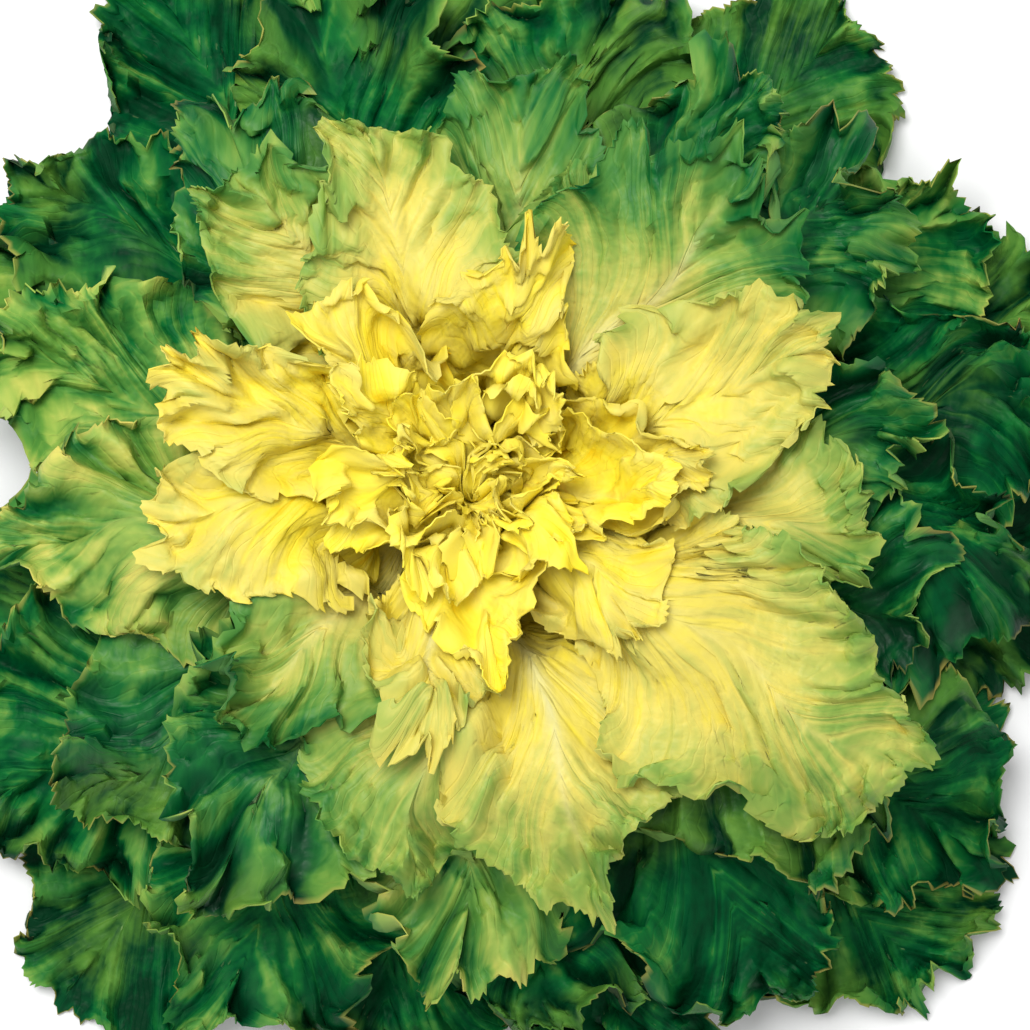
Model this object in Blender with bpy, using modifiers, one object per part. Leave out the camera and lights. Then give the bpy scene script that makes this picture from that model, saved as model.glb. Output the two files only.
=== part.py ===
"""A head of escarole, opened flat, standing on the cut face of its stem.

Every leaf lies on a layer of its own. The layers are nested surfaces of revolution round the
stem: layer 0 is the lowest and spreads just above the table, layer 1 is the innermost and
stands nearly upright. A point on a leaf is given by its layer, by the distance from the foot of
the leaf along the layer, and by its direction round the stem. Each leaf is draped over the
leaves below it, so no leaf passes through another.
"""

import math

import bmesh
import bpy
import numpy as np
from mathutils.bvhtree import BVHTree

MM = 0.001

# Stem: a cut face, a short neck and a dome that the leaves grow from, in mm and degrees
STEM_RADIUS = 25.0
STEM_FACE_RADIUS = 19.0
NECK_HEIGHT = 8.0
DOME_HEIGHT = 34.0
DOME_ANGLE = 80.0
STEM_CLEARANCE = 0.9
STEM_TOP_LAYER = 0.86
STEM_STEPS = 24
STEM_RINGS = 7

# Layers: how steeply they rise from the stem and fall again, in degrees and mm
LOWEST_RISE = 6.0
HEART_RISE = 77.0
EARLY_STEEPENING = (0.89, 0.85)
LATE_STEEPENING = (0.11, 4.0)
FALL = -13.0
MIDDLE_FALL = -5.0
HEART_FLARE = 26.0
ARCH_LENGTH = (165.0, 140.0)

# Leaves, in mm; a pair is the value at the lowest leaf and at the innermost
BLADE_THICKNESS = 1.0
PETIOLE_THICKNESS = 1.5
PETIOLE_WIDTH = (18.0, 7.0)
TOUCH_GAP = 0.4

# Room that leaves keep, in mm: near the foot and beyond it, above the table, and when settling
LEAF_CLEARANCE = (1.4, 2.4)
FOOT = (10.0, 60.0)
LEAST_CLEARANCE = 1.4
PETIOLE_CLEARANCE = 1.4
TABLE_CLEARANCE = 1.5
SETTLE_STEP = 0.6
SETTLE_ROUNDS = 40
REST_SOFTNESS = 0.006

# Outline: where the blade widens, its shoulders, the range of tips, and lobes round the margin
WIDENING = (0.10, 0.78)
SHOULDER = (0.75, 1.0)
SHOULDER_DROP = 0.08
TIP_ROUND = (0.26, 0.38)
TIP_POWERS = (2.4, 1.5)
LEAN = (-0.10, 0.10)
LOBES = ((4.1, 1.0), (9.3, 0.9), (15.7, 0.5))
LOBE_REACH = 0.045
LOBE_INSET = 0.02
TOOTH = 0.035

# Waves: counts and strengths of the ruffles round the margin, heights in mm
RUFFLES = ((1.15, 1.0), (2.0, 0.75))
RUFFLE_COUNT = (0.85, 1.25)
RUFFLE_HEIGHT = (7.0, 10.0)
RUFFLE_WIDTH = 130.0
CALMER = 0.3
PLEAT_COUNT = 1.6
PLEAT_HEIGHT = 1.8
MIDRIB_DROP = 1.5
CUP = (-2.0, 6.0)
TWIST = (-6.0, 6.0)
DROOP = (0.0, 14.0)
BLADE_START = (0.2, 0.7)
MARGIN_START = (0.18, 0.55)

# Faces along a leaf of each kind, and the width in mm of the faces across its blade
ROWS = {"outer_leaf": 6, "mid_leaf": 7, "heart_leaf": 7, "tuft_leaf": 5}
FACE_WIDTHS = {"outer_leaf": 17.0, "mid_leaf": 14.0, "heart_leaf": 10.5, "tuft_leaf": 14.0}
FEWEST_COLUMNS = 4

# Map of how high the leaves reach, layer by layer: cell sizes in mm and degrees
CELL_LENGTH = 4.0
CELL_ANGLE = 2.0
MAP_ROWS = 60
MAP_COLUMNS = 180

# Each leaf: direction in degrees, length along its layer and width in mm
OUTER_LEAVES = (
    (324, 206, 150), (53, 198, 140), (230, 214, 150), (155, 176, 140), (350, 200, 145),
    (256, 190, 140), (126, 200, 150), (18, 202, 145), (194, 172, 140), (310, 234, 135),
    (286, 194, 140), (98, 178, 140), (141, 172, 120), (33, 178, 120), (217, 196, 130),
    (74, 172, 120), (321, 208, 125), (12, 194, 120), (240, 194, 120), (277, 174, 120),
    (169, 158, 120), (303, 196, 120), (356, 182, 120), (112, 174, 120),
)
MID_LEAVES = (
    (216, 160, 110), (39, 172, 115), (125, 146, 100), (189, 150, 110), (340, 156, 110),
    (271, 160, 110), (56, 160, 105), (7, 144, 110), (317, 178, 115), (236, 158, 105),
)
HEART_LEAVES = (
    (80, 138, 90), (264, 136, 105), (65, 118, 65), (126, 136, 80), (351, 138, 95),
    (222, 116, 90), (290, 146, 112), (46, 150, 112), (186, 116, 75), (331, 180, 108),
    (15, 134, 80), (106, 136, 85), (161, 122, 70), (257, 108, 60), (322, 100, 62),
    (72, 104, 56), (132, 102, 56), (14, 100, 58),
)
OUTER_LAYERS = (0.0, 0.42)
MID_LAYERS = (0.44, 0.58)
HEART_LAYERS = (0.60, 0.82)

# Tuft of small leaves in the middle, from its outermost leaf to its innermost
TUFT_LAYERS = (0.88, 1.0)
TUFT_CLEARANCE = 0.5
TUFT_LEAVES = 11
TUFT_LENGTH = (92.0, 54.0)
TUFT_WIDTH = (58.0, 36.0)
GOLDEN_ANGLE = 137.508
CORE_LAYER = 0.88
CORE_LENGTH = 28.0
CORE_RINGS = 5
CORE_STEPS = 16
INNERMOST_LAYER = 1.04

# Colour, roughness and metallic value of each kind of piece
FINISHES = {
    "stump": ((0.80, 0.78, 0.58), 0.55, 0.0),
    "outer_leaf": ((0.05, 0.20, 0.03), 0.50, 0.0),
    "mid_leaf": ((0.16, 0.33, 0.06), 0.50, 0.0),
    "heart_leaf": ((0.85, 0.72, 0.15), 0.50, 0.0),
    "heart": ((0.86, 0.66, 0.10), 0.50, 0.0),
}


def clear_scene():
    """Remove every object that the new file starts with."""
    for old in list(bpy.data.objects):
        bpy.data.objects.remove(old, do_unlink=True)


def smooth_step(value, low, high):
    """Rise smoothly from 0 at low to 1 at high."""
    share = np.clip((value - low) / (high - low), 0.0, 1.0)
    return share * share * (3.0 - 2.0 * share)


def between(ends, share):
    """Return the value at a share of the way between two ends."""
    return ends[0] + (ends[1] - ends[0]) * share


def stem_surface(layer, inset=0.0):
    """Return radius and height, in mm, of the place on the stem where a layer starts."""
    turn = np.radians(DOME_ANGLE) * layer
    radius = (STEM_RADIUS - inset) * np.cos(turn)
    return radius, NECK_HEIGHT + (DOME_HEIGHT - inset) * np.sin(turn)


def layer_profile(layer, along):
    """Return radius and height, in mm, of a point on a layer at a distance from its foot."""
    steep = 0.0
    for share, power in (EARLY_STEEPENING, LATE_STEEPENING):
        steep = steep + share * layer**power
    rise = np.radians(LOWEST_RISE + HEART_RISE * steep)
    fall = np.radians(FALL + MIDDLE_FALL * np.sin(np.pi * layer) + HEART_FLARE * layer**5)
    turn = (rise - fall) / between(ARCH_LENGTH, layer)
    slope = rise - turn * along
    radius, height = stem_surface(layer)
    radius = radius + (np.sin(rise) - np.sin(slope)) / turn
    height = height + (np.cos(slope) - np.cos(rise)) / turn
    return radius, height


def layer_depth(layer, along):
    """Return how many mm one whole unit of layer spans at a point, square to the layer."""
    nudge = 1e-3
    radius, height = layer_profile(layer, along)
    up_radius, up_height = layer_profile(layer + nudge, along)
    out_radius, out_height = layer_profile(layer, along + nudge)
    across = (out_radius - radius) * (up_height - height)
    across = across - (out_height - height) * (up_radius - radius)
    return across / nudge**2


def to_space(layer, along, angle):
    """Return x, y, z in metres of points given on the layers."""
    radius, height = layer_profile(np.maximum(layer, 0.0), along)
    return np.stack((radius * np.cos(angle), radius * np.sin(angle), height), axis=-1) * MM


class Leaf:
    """One leaf: its place on the layers, its outline and its waves."""

    def __init__(self, name, layer, direction, length, width, seed):
        """Take the leaf's place and size, and draw its lobes and waves."""
        draw = np.random.default_rng(seed)
        self.name = name
        self.layer = layer
        self.direction = math.radians(direction)
        self.length = length
        self.width = width
        self.petiole_width = between(PETIOLE_WIDTH, layer)
        self.tip_round = draw.uniform(*TIP_ROUND)
        self.lean = draw.uniform(*LEAN)
        self.lobe_phase = draw.uniform(0.0, 2.0 * math.pi, 3)
        self.wave_phase = draw.uniform(0.0, 2.0 * math.pi, 3)
        self.wave_count = draw.uniform(*RUFFLE_COUNT)
        self.wave_height = draw.uniform(*RUFFLE_HEIGHT) * width / RUFFLE_WIDTH
        self.wave_height *= 1.0 - CALMER * layer
        self.cup = draw.uniform(*CUP)
        self.twist = draw.uniform(*TWIST)
        self.droop = draw.uniform(*DROOP) * (1.0 - layer)

    def place(self, rise, side):
        """Return along and across, in mm, of points given as shares of length and half width."""
        blade = smooth_step(rise, *WIDENING)
        shoulder = 1.0 - SHOULDER_DROP * smooth_step(rise, *SHOULDER)
        half = 0.5 * between((self.petiole_width, self.width), blade) * shoulder
        corner = np.abs(side) ** TIP_POWERS[0] * rise ** TIP_POWERS[1]
        along = self.length * rise * (1.0 - self.tip_round * corner)
        across = half * side + self.lean * self.length * rise**2
        lobes = self.lobes(side * (2.0 - rise)) * self.edge(rise, side) ** 3
        along = along + lobes * rise**3
        across = across + lobes * side**3 * smooth_step(rise, *BLADE_START)
        return np.maximum(along, 0.0), across

    def lobes(self, round_edge):
        """Return how far the lobes stand out, in mm, at places round the margin."""
        reach = 0.0
        for (count, strength), phase in zip(LOBES, self.lobe_phase):
            reach = reach + strength * np.cos(count * round_edge + phase)
        return self.width * (LOBE_REACH * reach - LOBE_INSET)

    def edge(self, rise, side):
        """Return 1 on the blade's margin, falling to 0 at the midrib and on the petiole."""
        inside = (1.0 - np.abs(side) ** 2.5) * (1.0 - np.clip(rise, 0.0, 1.0) ** 4)
        return (1.0 - inside) * smooth_step(rise, *MARGIN_START)

    def lift(self, rise, side):
        """Return how far, in mm, the leaf's own form lifts it off its layer."""
        edge = self.edge(rise, side)
        swing = 2.0 * math.pi * self.wave_count * side * (2.0 - rise)
        waves = 0.0
        for (count, strength), phase in zip(RUFFLES, self.wave_phase):
            waves = waves + strength * np.sin(count * swing + phase)
        pleats = PLEAT_HEIGHT * np.cos(PLEAT_COUNT * swing + self.wave_phase[2]) * (1.0 - edge)
        form = pleats - MIDRIB_DROP * (1.0 - side**2) + self.cup * side**2 + self.twist * side
        form = form * smooth_step(rise, *BLADE_START)
        return self.wave_height * waves * edge**2 + form - self.droop * rise**4


class LayerMap:
    """Remembers, all round the stem, the highest layer that a leaf has reached."""

    def __init__(self):
        """Start with the lowest layer that clears the table."""
        along = np.arange(MAP_ROWS) * CELL_LENGTH
        layers = np.linspace(0.0, 0.4, 401)
        heights = layer_profile(layers[:, None], along[None, :])[1]
        lowest = layers[np.argmax(heights >= TABLE_CLEARANCE, axis=0)]
        self.top = np.repeat(lowest[:, None], MAP_COLUMNS, axis=1)

    def read(self, along, angle):
        """Return the highest layer reached at places along the layer and round the stem."""
        row = np.clip(along / CELL_LENGTH, 0.0, MAP_ROWS - 1.001)
        column = np.degrees(angle) / CELL_ANGLE
        low_row = np.floor(row).astype(int)
        low_column = np.floor(column).astype(int)
        row_share = row - low_row
        column_share = column - low_column
        left = low_column % MAP_COLUMNS
        right = (low_column + 1) % MAP_COLUMNS
        near = between((self.top[low_row, left], self.top[low_row, right]), column_share)
        far = between((self.top[low_row + 1, left], self.top[low_row + 1, right]), column_share)
        return between((near, far), row_share)

    def add(self, along, angle, layer, depth, share=1.0):
        """Raise the map over a leaf, with a share of the clearance that the next leaf keeps."""
        row = np.clip(np.rint(along / CELL_LENGTH).astype(int), 0, MAP_ROWS - 1)
        column = np.rint(np.degrees(angle) / CELL_ANGLE).astype(int) % MAP_COLUMNS
        reach = np.zeros_like(self.top)
        clearance = between(LEAF_CLEARANCE, smooth_step(along, *FOOT)) * share
        np.maximum.at(reach, (row, column), layer + clearance / depth)
        for _ in range(2):
            sides = np.maximum(np.roll(reach, 1, axis=1), np.roll(reach, -1, axis=1))
            reach = np.maximum(reach, sides)
            inner = np.vstack((reach[1:], reach[-1:]))
            outer = np.vstack((reach[:1], reach[:-1]))
            reach = np.maximum(reach, np.maximum(inner, outer))
        self.top = np.maximum(self.top, reach)


def drape(leaf, layer_map, rise, side):
    """Return layer, along, angle and depth of a leaf's points, laid over the leaves below."""
    along, across = leaf.place(rise, side)
    depth = layer_depth(leaf.layer, along)
    angle = leaf.direction + across / layer_profile(leaf.layer, along)[0]
    below = layer_map.read(along, angle)
    gap = leaf.layer + leaf.lift(rise, side) / depth - below
    layer = below + 0.5 * (gap + np.sqrt(gap**2 + REST_SOFTNESS**2))
    return np.minimum(layer, INNERMOST_LAYER), along, angle, depth


def settle(layer, along, angle, clearance, faces, lower):
    """Lift a leaf's points until its faces clear the tops of the lower leaves."""
    step = SETTLE_STEP * clearance / LEAST_CLEARANCE
    for _ in range(SETTLE_ROUNDS):
        points = to_space(layer - 0.5 * clearance, along, angle)
        underside = BVHTree.FromPolygons(points.tolist(), faces)
        touched = set()
        for top in lower:
            for mine, _ in underside.overlap(top):
                touched.update(faces[mine])
        if not touched:
            break
        raised = sorted(touched)
        layer[raised] = np.minimum(layer[raised] + step[raised], INNERMOST_LAYER)
    return layer


def add_leaf(kind, leaf, layer_map, lower, collection):
    """Make a leaf from a grid laid along its veins, with a thicker midrib, and return it."""
    rows = ROWS[kind]
    columns = max(FEWEST_COLUMNS, 2 * round(0.5 * leaf.width / FACE_WIDTHS[kind]))
    form = bmesh.new()
    bmesh.ops.create_grid(form, x_segments=columns, y_segments=rows, size=1.0)
    flat = np.array([vertex.co for vertex in form.verts])
    side = flat[:, 0]
    rise = (0.5 * (flat[:, 1] + 1.0)) ** 0.7
    steps = np.rint((flat[:, 0] + 1.0) * 0.5 * columns + (flat[:, 1] + 1.0) * 0.5 * rows)
    tooth = np.where(steps % 2 == 0, 1.0, -1.0)
    notch = 1.0 + TOOTH * tooth * leaf.edge(rise, side) ** 4
    layer, along, angle, depth = drape(leaf, layer_map, rise * notch, side * notch)
    for vertex, point in zip(form.verts, to_space(layer, along, angle)):
        vertex.co = point
    bmesh.ops.triangulate(form, faces=form.faces, quad_method="SHORT_EDGE")
    faces = [[vertex.index for vertex in face.verts] for face in form.faces]

    fleshy = (1.0 - smooth_step(np.abs(side), 0.0, 0.9)) * (1.0 - smooth_step(rise, 0.2, 0.7))
    clearance = LEAST_CLEARANCE * between((1.0, PETIOLE_CLEARANCE), fleshy) / depth
    layer = settle(layer, along, angle, clearance, faces, lower)
    for vertex, point in zip(form.verts, to_space(layer, along, angle)):
        vertex.co = point
    top = BVHTree.FromPolygons(to_space(layer + 0.5 * clearance, along, angle).tolist(), faces)

    mesh = bpy.data.meshes.new(leaf.name)
    form.to_mesh(mesh)
    form.free()
    body = bpy.data.objects.new(leaf.name, mesh)
    collection.objects.link(body)
    midrib = body.vertex_groups.new(name="midrib")
    for index, value in enumerate(fleshy):
        midrib.add([index], float(value), "REPLACE")
    shell = body.modifiers.new("blade", "SOLIDIFY")
    shell.thickness = PETIOLE_THICKNESS * MM
    shell.offset = 0.0
    shell.vertex_group = midrib.name
    shell.thickness_vertex_group = BLADE_THICKNESS / PETIOLE_THICKNESS
    return body, top


def drape_whole(leaf, layer_map, share=1.0):
    """Record a whole leaf on the map, so that the next leaf keeps clear of it."""
    rise, side = np.meshgrid(np.linspace(0.0, 1.02, 70), np.linspace(-1.02, 1.02, 71))
    layer, along, angle, depth = drape(leaf, layer_map, rise, side)
    layer_map.add(along, angle, layer, depth, share)


def turned_body(name, profile, steps, collection):
    """Turn a closed body from a profile of radius and height in mm, given from its top down."""
    mesh = bpy.data.meshes.new(name)
    points = [(across * MM, 0.0, up * MM) for across, up in profile]
    links = [(index, index + 1) for index in range(len(points) - 1)]
    mesh.from_pydata(points, links, [])
    body = bpy.data.objects.new(name, mesh)
    collection.objects.link(body)
    turn = body.modifiers.new("turn", "SCREW")
    turn.steps = steps
    turn.render_steps = steps
    turn.use_merge_vertices = True
    turn.merge_threshold = 0.00001
    return body


def add_material(body, kind):
    """Give a piece the material of its kind."""
    colour, roughness, metallic = FINISHES[kind]
    finish = bpy.data.materials.get(kind) or bpy.data.materials.new(kind)
    finish.use_nodes = True
    shader = finish.node_tree.nodes["Principled BSDF"]
    shader.inputs["Base Color"].default_value = (*colour, 1.0)
    shader.inputs["Roughness"].default_value = roughness
    shader.inputs["Metallic"].default_value = metallic
    body.data.materials.clear()
    body.data.materials.append(finish)


def add_stem(collection):
    """Turn the cut stem that the leaves grow from."""
    radius, height = stem_surface(np.linspace(STEM_TOP_LAYER, 0.0, STEM_RINGS), STEM_CLEARANCE)
    profile = [(0.0, height[0])] + list(zip(radius, height))
    profile += [(radius[-1] - 1.0, 2.0), (STEM_FACE_RADIUS, 0.0), (0.0, 0.0)]
    stem = turned_body("stump", profile, STEM_STEPS, collection)
    add_material(stem, "stump")


def add_whorl(kind, table, layers, layer_map, lower, seed, collection):
    """Add one whorl of large leaves, each a piece of its own, from the lowest up."""
    for index, (row, layer) in enumerate(zip(table, np.linspace(*layers, len(table)))):
        leaf = Leaf(f"{kind}_{index + 1:02d}", layer, *row, seed + index)
        body, top = add_leaf(kind, leaf, layer_map, lower, collection)
        add_material(body, kind)
        drape_whole(leaf, layer_map)
        lower.append(top)


def add_core(layer_map, collection):
    """Turn the growing tip that the small leaves of the tuft are rooted in."""
    reached = layer_map.top[: int(CORE_LENGTH / CELL_LENGTH) + 2].max()
    along = np.linspace(CORE_LENGTH, 0.0, CORE_RINGS)
    radius, height = layer_profile(max(CORE_LAYER, reached), along)
    foot = stem_surface(STEM_TOP_LAYER, STEM_CLEARANCE)[1] + TOUCH_GAP
    profile = [(0.0, height[0] + 3.0)] + list(zip(radius, height))
    profile += [(radius[-1] - 1.0, foot), (0.0, foot)]
    return turned_body("heart", profile, CORE_STEPS, collection)


def keep_largest(mesh):
    """Drop loose scraps and sealed hollows from a joined mesh, and leave triangles."""
    form = bmesh.new()
    form.from_mesh(mesh)
    waiting = set(form.faces)
    largest = set()
    while waiting:
        island = {waiting.pop()}
        front = list(island)
        while front:
            for edge in front.pop().edges:
                for face in edge.link_faces:
                    if face not in island:
                        island.add(face)
                        front.append(face)
        waiting -= island
        if len(island) > len(largest):
            largest = island
    scraps = [face for face in form.faces if face not in largest]
    bmesh.ops.delete(form, geom=scraps, context="FACES")
    bmesh.ops.triangulate(form, faces=form.faces)
    form.to_mesh(mesh)
    form.free()


def add_heart(layer_map, lower, seed, collection, cutters):
    """Join the small crumpled leaves of the tuft and the growing tip in one piece."""
    heart = add_core(layer_map, collection)
    for index in range(TUFT_LEAVES):
        share = index / (TUFT_LEAVES - 1)
        length = between(TUFT_LENGTH, share)
        width = between(TUFT_WIDTH, share)
        layer = between(TUFT_LAYERS, share)
        leaf = Leaf(f"tuft_{index}", layer, index * GOLDEN_ANGLE, length, width, seed + index)
        add_leaf("tuft_leaf", leaf, layer_map, lower, cutters)
        drape_whole(leaf, layer_map, TUFT_CLEARANCE)
    join = heart.modifiers.new("join", "BOOLEAN")
    join.operation = "UNION"
    join.operand_type = "COLLECTION"
    join.collection = cutters
    join.solver = "MANIFOLD"
    joined = heart.evaluated_get(bpy.context.evaluated_depsgraph_get())
    whole = bpy.data.meshes.new_from_object(joined)
    heart.modifiers.clear()
    heart.data = whole
    for leaf in list(cutters.objects):
        bpy.data.objects.remove(leaf, do_unlink=True)
    keep_largest(heart.data)
    add_material(heart, "heart")


def main():
    """Build the head from its stem outward and upward."""
    clear_scene()
    head = bpy.data.collections.new("escarole")
    cutters = bpy.data.collections.new("tuft")
    bpy.context.scene.collection.children.link(head)
    bpy.context.scene.collection.children.link(cutters)
    add_stem(head)
    layer_map = LayerMap()
    lower = []
    add_whorl("outer_leaf", OUTER_LEAVES, OUTER_LAYERS, layer_map, lower, 100, head)
    add_whorl("mid_leaf", MID_LEAVES, MID_LAYERS, layer_map, lower, 200, head)
    add_whorl("heart_leaf", HEART_LEAVES, HEART_LAYERS, layer_map, lower, 300, head)
    add_heart(layer_map, lower, 400, head, cutters)


main()
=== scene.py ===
"""A head of escarole, opened flat and seen from above, on a pale studio floor.

Every leaf lies on a layer of its own. The layers are nested surfaces of revolution round the
stem: layer 0 is the lowest, layer 1 the innermost. A point on a leaf is given by its layer, by
the distance from the foot of the leaf along the layer, and by its direction round the stem.
The leaves are laid one over another from the lowest up, first in their main form and then with
the fine teeth, ruffles and puckers that there is room for.
"""

import logging
import math
from dataclasses import dataclass, field
from enum import Enum

import bpy
import numpy as np
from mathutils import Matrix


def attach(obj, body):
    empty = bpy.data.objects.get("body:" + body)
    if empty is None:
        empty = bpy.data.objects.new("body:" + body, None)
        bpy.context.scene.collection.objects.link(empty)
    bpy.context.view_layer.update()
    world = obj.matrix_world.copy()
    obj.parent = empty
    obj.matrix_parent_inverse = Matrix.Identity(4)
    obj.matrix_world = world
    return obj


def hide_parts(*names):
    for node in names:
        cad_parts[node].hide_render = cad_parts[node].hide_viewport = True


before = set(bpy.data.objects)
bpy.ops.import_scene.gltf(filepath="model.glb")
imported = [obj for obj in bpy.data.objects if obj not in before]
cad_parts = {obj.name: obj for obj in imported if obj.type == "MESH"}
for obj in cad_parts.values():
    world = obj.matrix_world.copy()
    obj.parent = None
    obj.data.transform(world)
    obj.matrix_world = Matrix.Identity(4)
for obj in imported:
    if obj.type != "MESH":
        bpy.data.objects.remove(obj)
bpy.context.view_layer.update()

LOG = logging.getLogger("escarole")
MM = 0.001
FULL_TURN = 2.0 * math.pi
BODY = "root"
Value = float | bpy.types.NodeSocket
Colour = tuple | bpy.types.NodeSocket


class Growth(Enum):
    """The kinds of leaf, from the outside of the head inward."""

    OUTER = "outer_leaf"
    MID = "mid_leaf"
    HEART = "heart_leaf"
    TUFT = "tuft_leaf"


class Coat(Enum):
    """The maps that every leaf carries for its finish."""

    GROWTH = "growth"
    VEIN = "vein"
    BLADE = "blade"


def smooth_step(value: np.ndarray, low: float, high: float) -> np.ndarray:
    """Rise smoothly from 0 at low to 1 at high."""
    share = np.clip((value - low) / (high - low), 0.0, 1.0)
    return share * share * (3.0 - 2.0 * share)


def between(ends: tuple, share: float | np.ndarray) -> float | np.ndarray:
    """Return the value at a share of the way between two ends."""
    return ends[0] + (ends[1] - ends[0]) * share


def bell(distance: np.ndarray, width: float | np.ndarray) -> np.ndarray:
    """Return 1 at a distance of 0, falling smoothly to 0 beyond the width."""
    return np.exp(-((distance / width) ** 2))


def soft_rise(gap: np.ndarray, softness: float | np.ndarray) -> np.ndarray:
    """Return what a gap has above 0, with the corner at 0 rounded off."""
    return 0.5 * (gap + np.sqrt(gap**2 + softness**2))


def blur_rows(grid: np.ndarray) -> np.ndarray:
    """Soften every row of a grid into the rows before and after it."""
    padded = np.pad(grid, ((1, 1), (0, 0)), mode="edge")
    return 0.25 * (padded[:-2] + 2.0 * padded[1:-1] + padded[2:])


def least_of_rows(grid: np.ndarray) -> np.ndarray:
    """Lower every value of a grid to the least of its own and of those before and after it."""
    padded = np.pad(grid, ((1, 1), (0, 0)), mode="edge")
    return np.minimum(grid, np.minimum(padded[:-2], padded[2:]))


def sample(grid: np.ndarray, row: np.ndarray, column: np.ndarray) -> np.ndarray:
    """Read a grid between its places.

    Args:
        grid: The values.
        row: The rows to read at, whole or not.
        column: The columns to read at, whole or not.

    Returns:
        The values there, blended from the four places round each.
    """
    low_row = np.clip(np.floor(row).astype(int), 0, grid.shape[0] - 2)
    low_column = np.clip(np.floor(column).astype(int), 0, grid.shape[1] - 2)
    share = column - low_column
    near = between((grid[low_row, low_column], grid[low_row, low_column + 1]), share)
    far = between((grid[low_row + 1, low_column], grid[low_row + 1, low_column + 1]), share)
    return between((near, far), row - low_row)


def bent(past: np.ndarray, zone: float, turn: float | np.ndarray) -> tuple:
    """Bend a straight stretch into an arc.

    Args:
        past: How far each place lies past the start of the bend, in mm.
        zone: The length of the bend, in mm.
        turn: How far it turns over that length, in radians, never 0.

    Returns:
        How far each place moves along the stretch and square to it, in mm.
    """
    radius = zone / turn
    past = np.maximum(past, 0.0)
    swung = past / radius
    return radius * np.sin(swung) - past, radius * (1.0 - np.cos(swung))


def add_object(name: str, data: bpy.types.ID) -> bpy.types.Object:
    """Make an object and link it to the scene.

    Args:
        name: The object's name.
        data: Its mesh, light or camera.

    Returns:
        The new object.
    """
    added = bpy.data.objects.new(name, data)
    bpy.context.scene.collection.objects.link(added)
    return added


def paint(red: int, green: int, blue: int) -> tuple:
    """Turn a screen colour into a linear one, by the usual curve of screens.

    Args:
        red: The red part, 0 to 255.
        green: The green part, 0 to 255.
        blue: The blue part, 0 to 255.

    Returns:
        Red, green, blue and full alpha, 0 to 1.
    """
    shares = np.array((red, green, blue)) / 255.0
    linear = np.where(shares <= 0.04045, shares / 12.92, ((shares + 0.055) / 1.055) ** 2.4)
    return (*(float(part) for part in linear), 1.0)


@dataclass(frozen=True)
class Layers:
    """The nested surfaces that the leaves lie on, in mm and degrees.

    The arch length is given at the lowest layer and at the innermost. The steepening is a sum of
    powers of the layer, each with its share.
    """

    stem_radius: float = 25.0
    neck_height: float = 8.0
    dome_height: float = 34.0
    dome_angle: float = 80.0
    lowest_rise: float = 6.0
    heart_rise: float = 77.0
    steepening: tuple = ((0.89, 0.85), (0.11, 4.0))
    fall: float = -13.0
    middle_fall: float = -5.0
    heart_flare: float = 26.0
    flare_power: int = 5
    arch_length: tuple = (165.0, 140.0)
    nudge: float = 1e-3

    def foot(self, layer: np.ndarray, inset: float = 0.0) -> tuple:
        """Find the place on the stem where a layer starts.

        Args:
            layer: The layer, from 0 to 1.
            inset: How far inside the stem's surface to stay, in mm.

        Returns:
            The radius and the height of that place, in mm.
        """
        turn = np.radians(self.dome_angle) * layer
        radius = (self.stem_radius - inset) * np.cos(turn)
        return radius, self.neck_height + (self.dome_height - inset) * np.sin(turn)

    def profile(self, layer: np.ndarray, along: np.ndarray) -> tuple:
        """Return radius and height of a point on a layer.

        Args:
            layer: The layer, from 0 to 1.
            along: The distance from the foot of the layer, in mm.

        Returns:
            The radius and the height, in mm.
        """
        steep = sum(share * layer**power for share, power in self.steepening)
        rise = np.radians(self.lowest_rise + self.heart_rise * steep)
        flare = self.middle_fall * np.sin(np.pi * layer) + self.heart_flare * layer**self.flare_power
        fall = np.radians(self.fall + flare)
        turn = (rise - fall) / between(self.arch_length, layer)
        slope = rise - turn * along
        radius, height = self.foot(layer)
        radius = radius + (np.sin(rise) - np.sin(slope)) / turn
        height = height + (np.cos(slope) - np.cos(rise)) / turn
        return radius, height

    def depth(self, layer: float, along: np.ndarray) -> np.ndarray:
        """Measure the layers square to themselves.

        Args:
            layer: The layer to measure at.
            along: The distances from its foot, in mm.

        Returns:
            How many mm one whole unit of layer spans there.
        """
        radius, height = self.profile(layer, along)
        up_radius, up_height = self.profile(layer + self.nudge, along)
        out_radius, out_height = self.profile(layer, along + self.nudge)
        across = (out_radius - radius) * (up_height - height)
        across = across - (out_height - height) * (up_radius - radius)
        return across / self.nudge**2

    def travel(self, layer: float, along: np.ndarray) -> np.ndarray:
        """Return how many mm points move when their layer goes up by one whole unit."""
        steps = np.subtract(self.profile(layer + self.nudge, along), self.profile(layer, along))
        return np.hypot(*steps) / self.nudge

    def to_space(self, layer: np.ndarray, along: np.ndarray, angle: np.ndarray) -> np.ndarray:
        """Return x, y, z in metres of points given on the layers."""
        radius, height = self.profile(np.maximum(layer, 0.0), along)
        return np.stack((radius * np.cos(angle), radius * np.sin(angle), height), axis=-1) * MM


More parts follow.
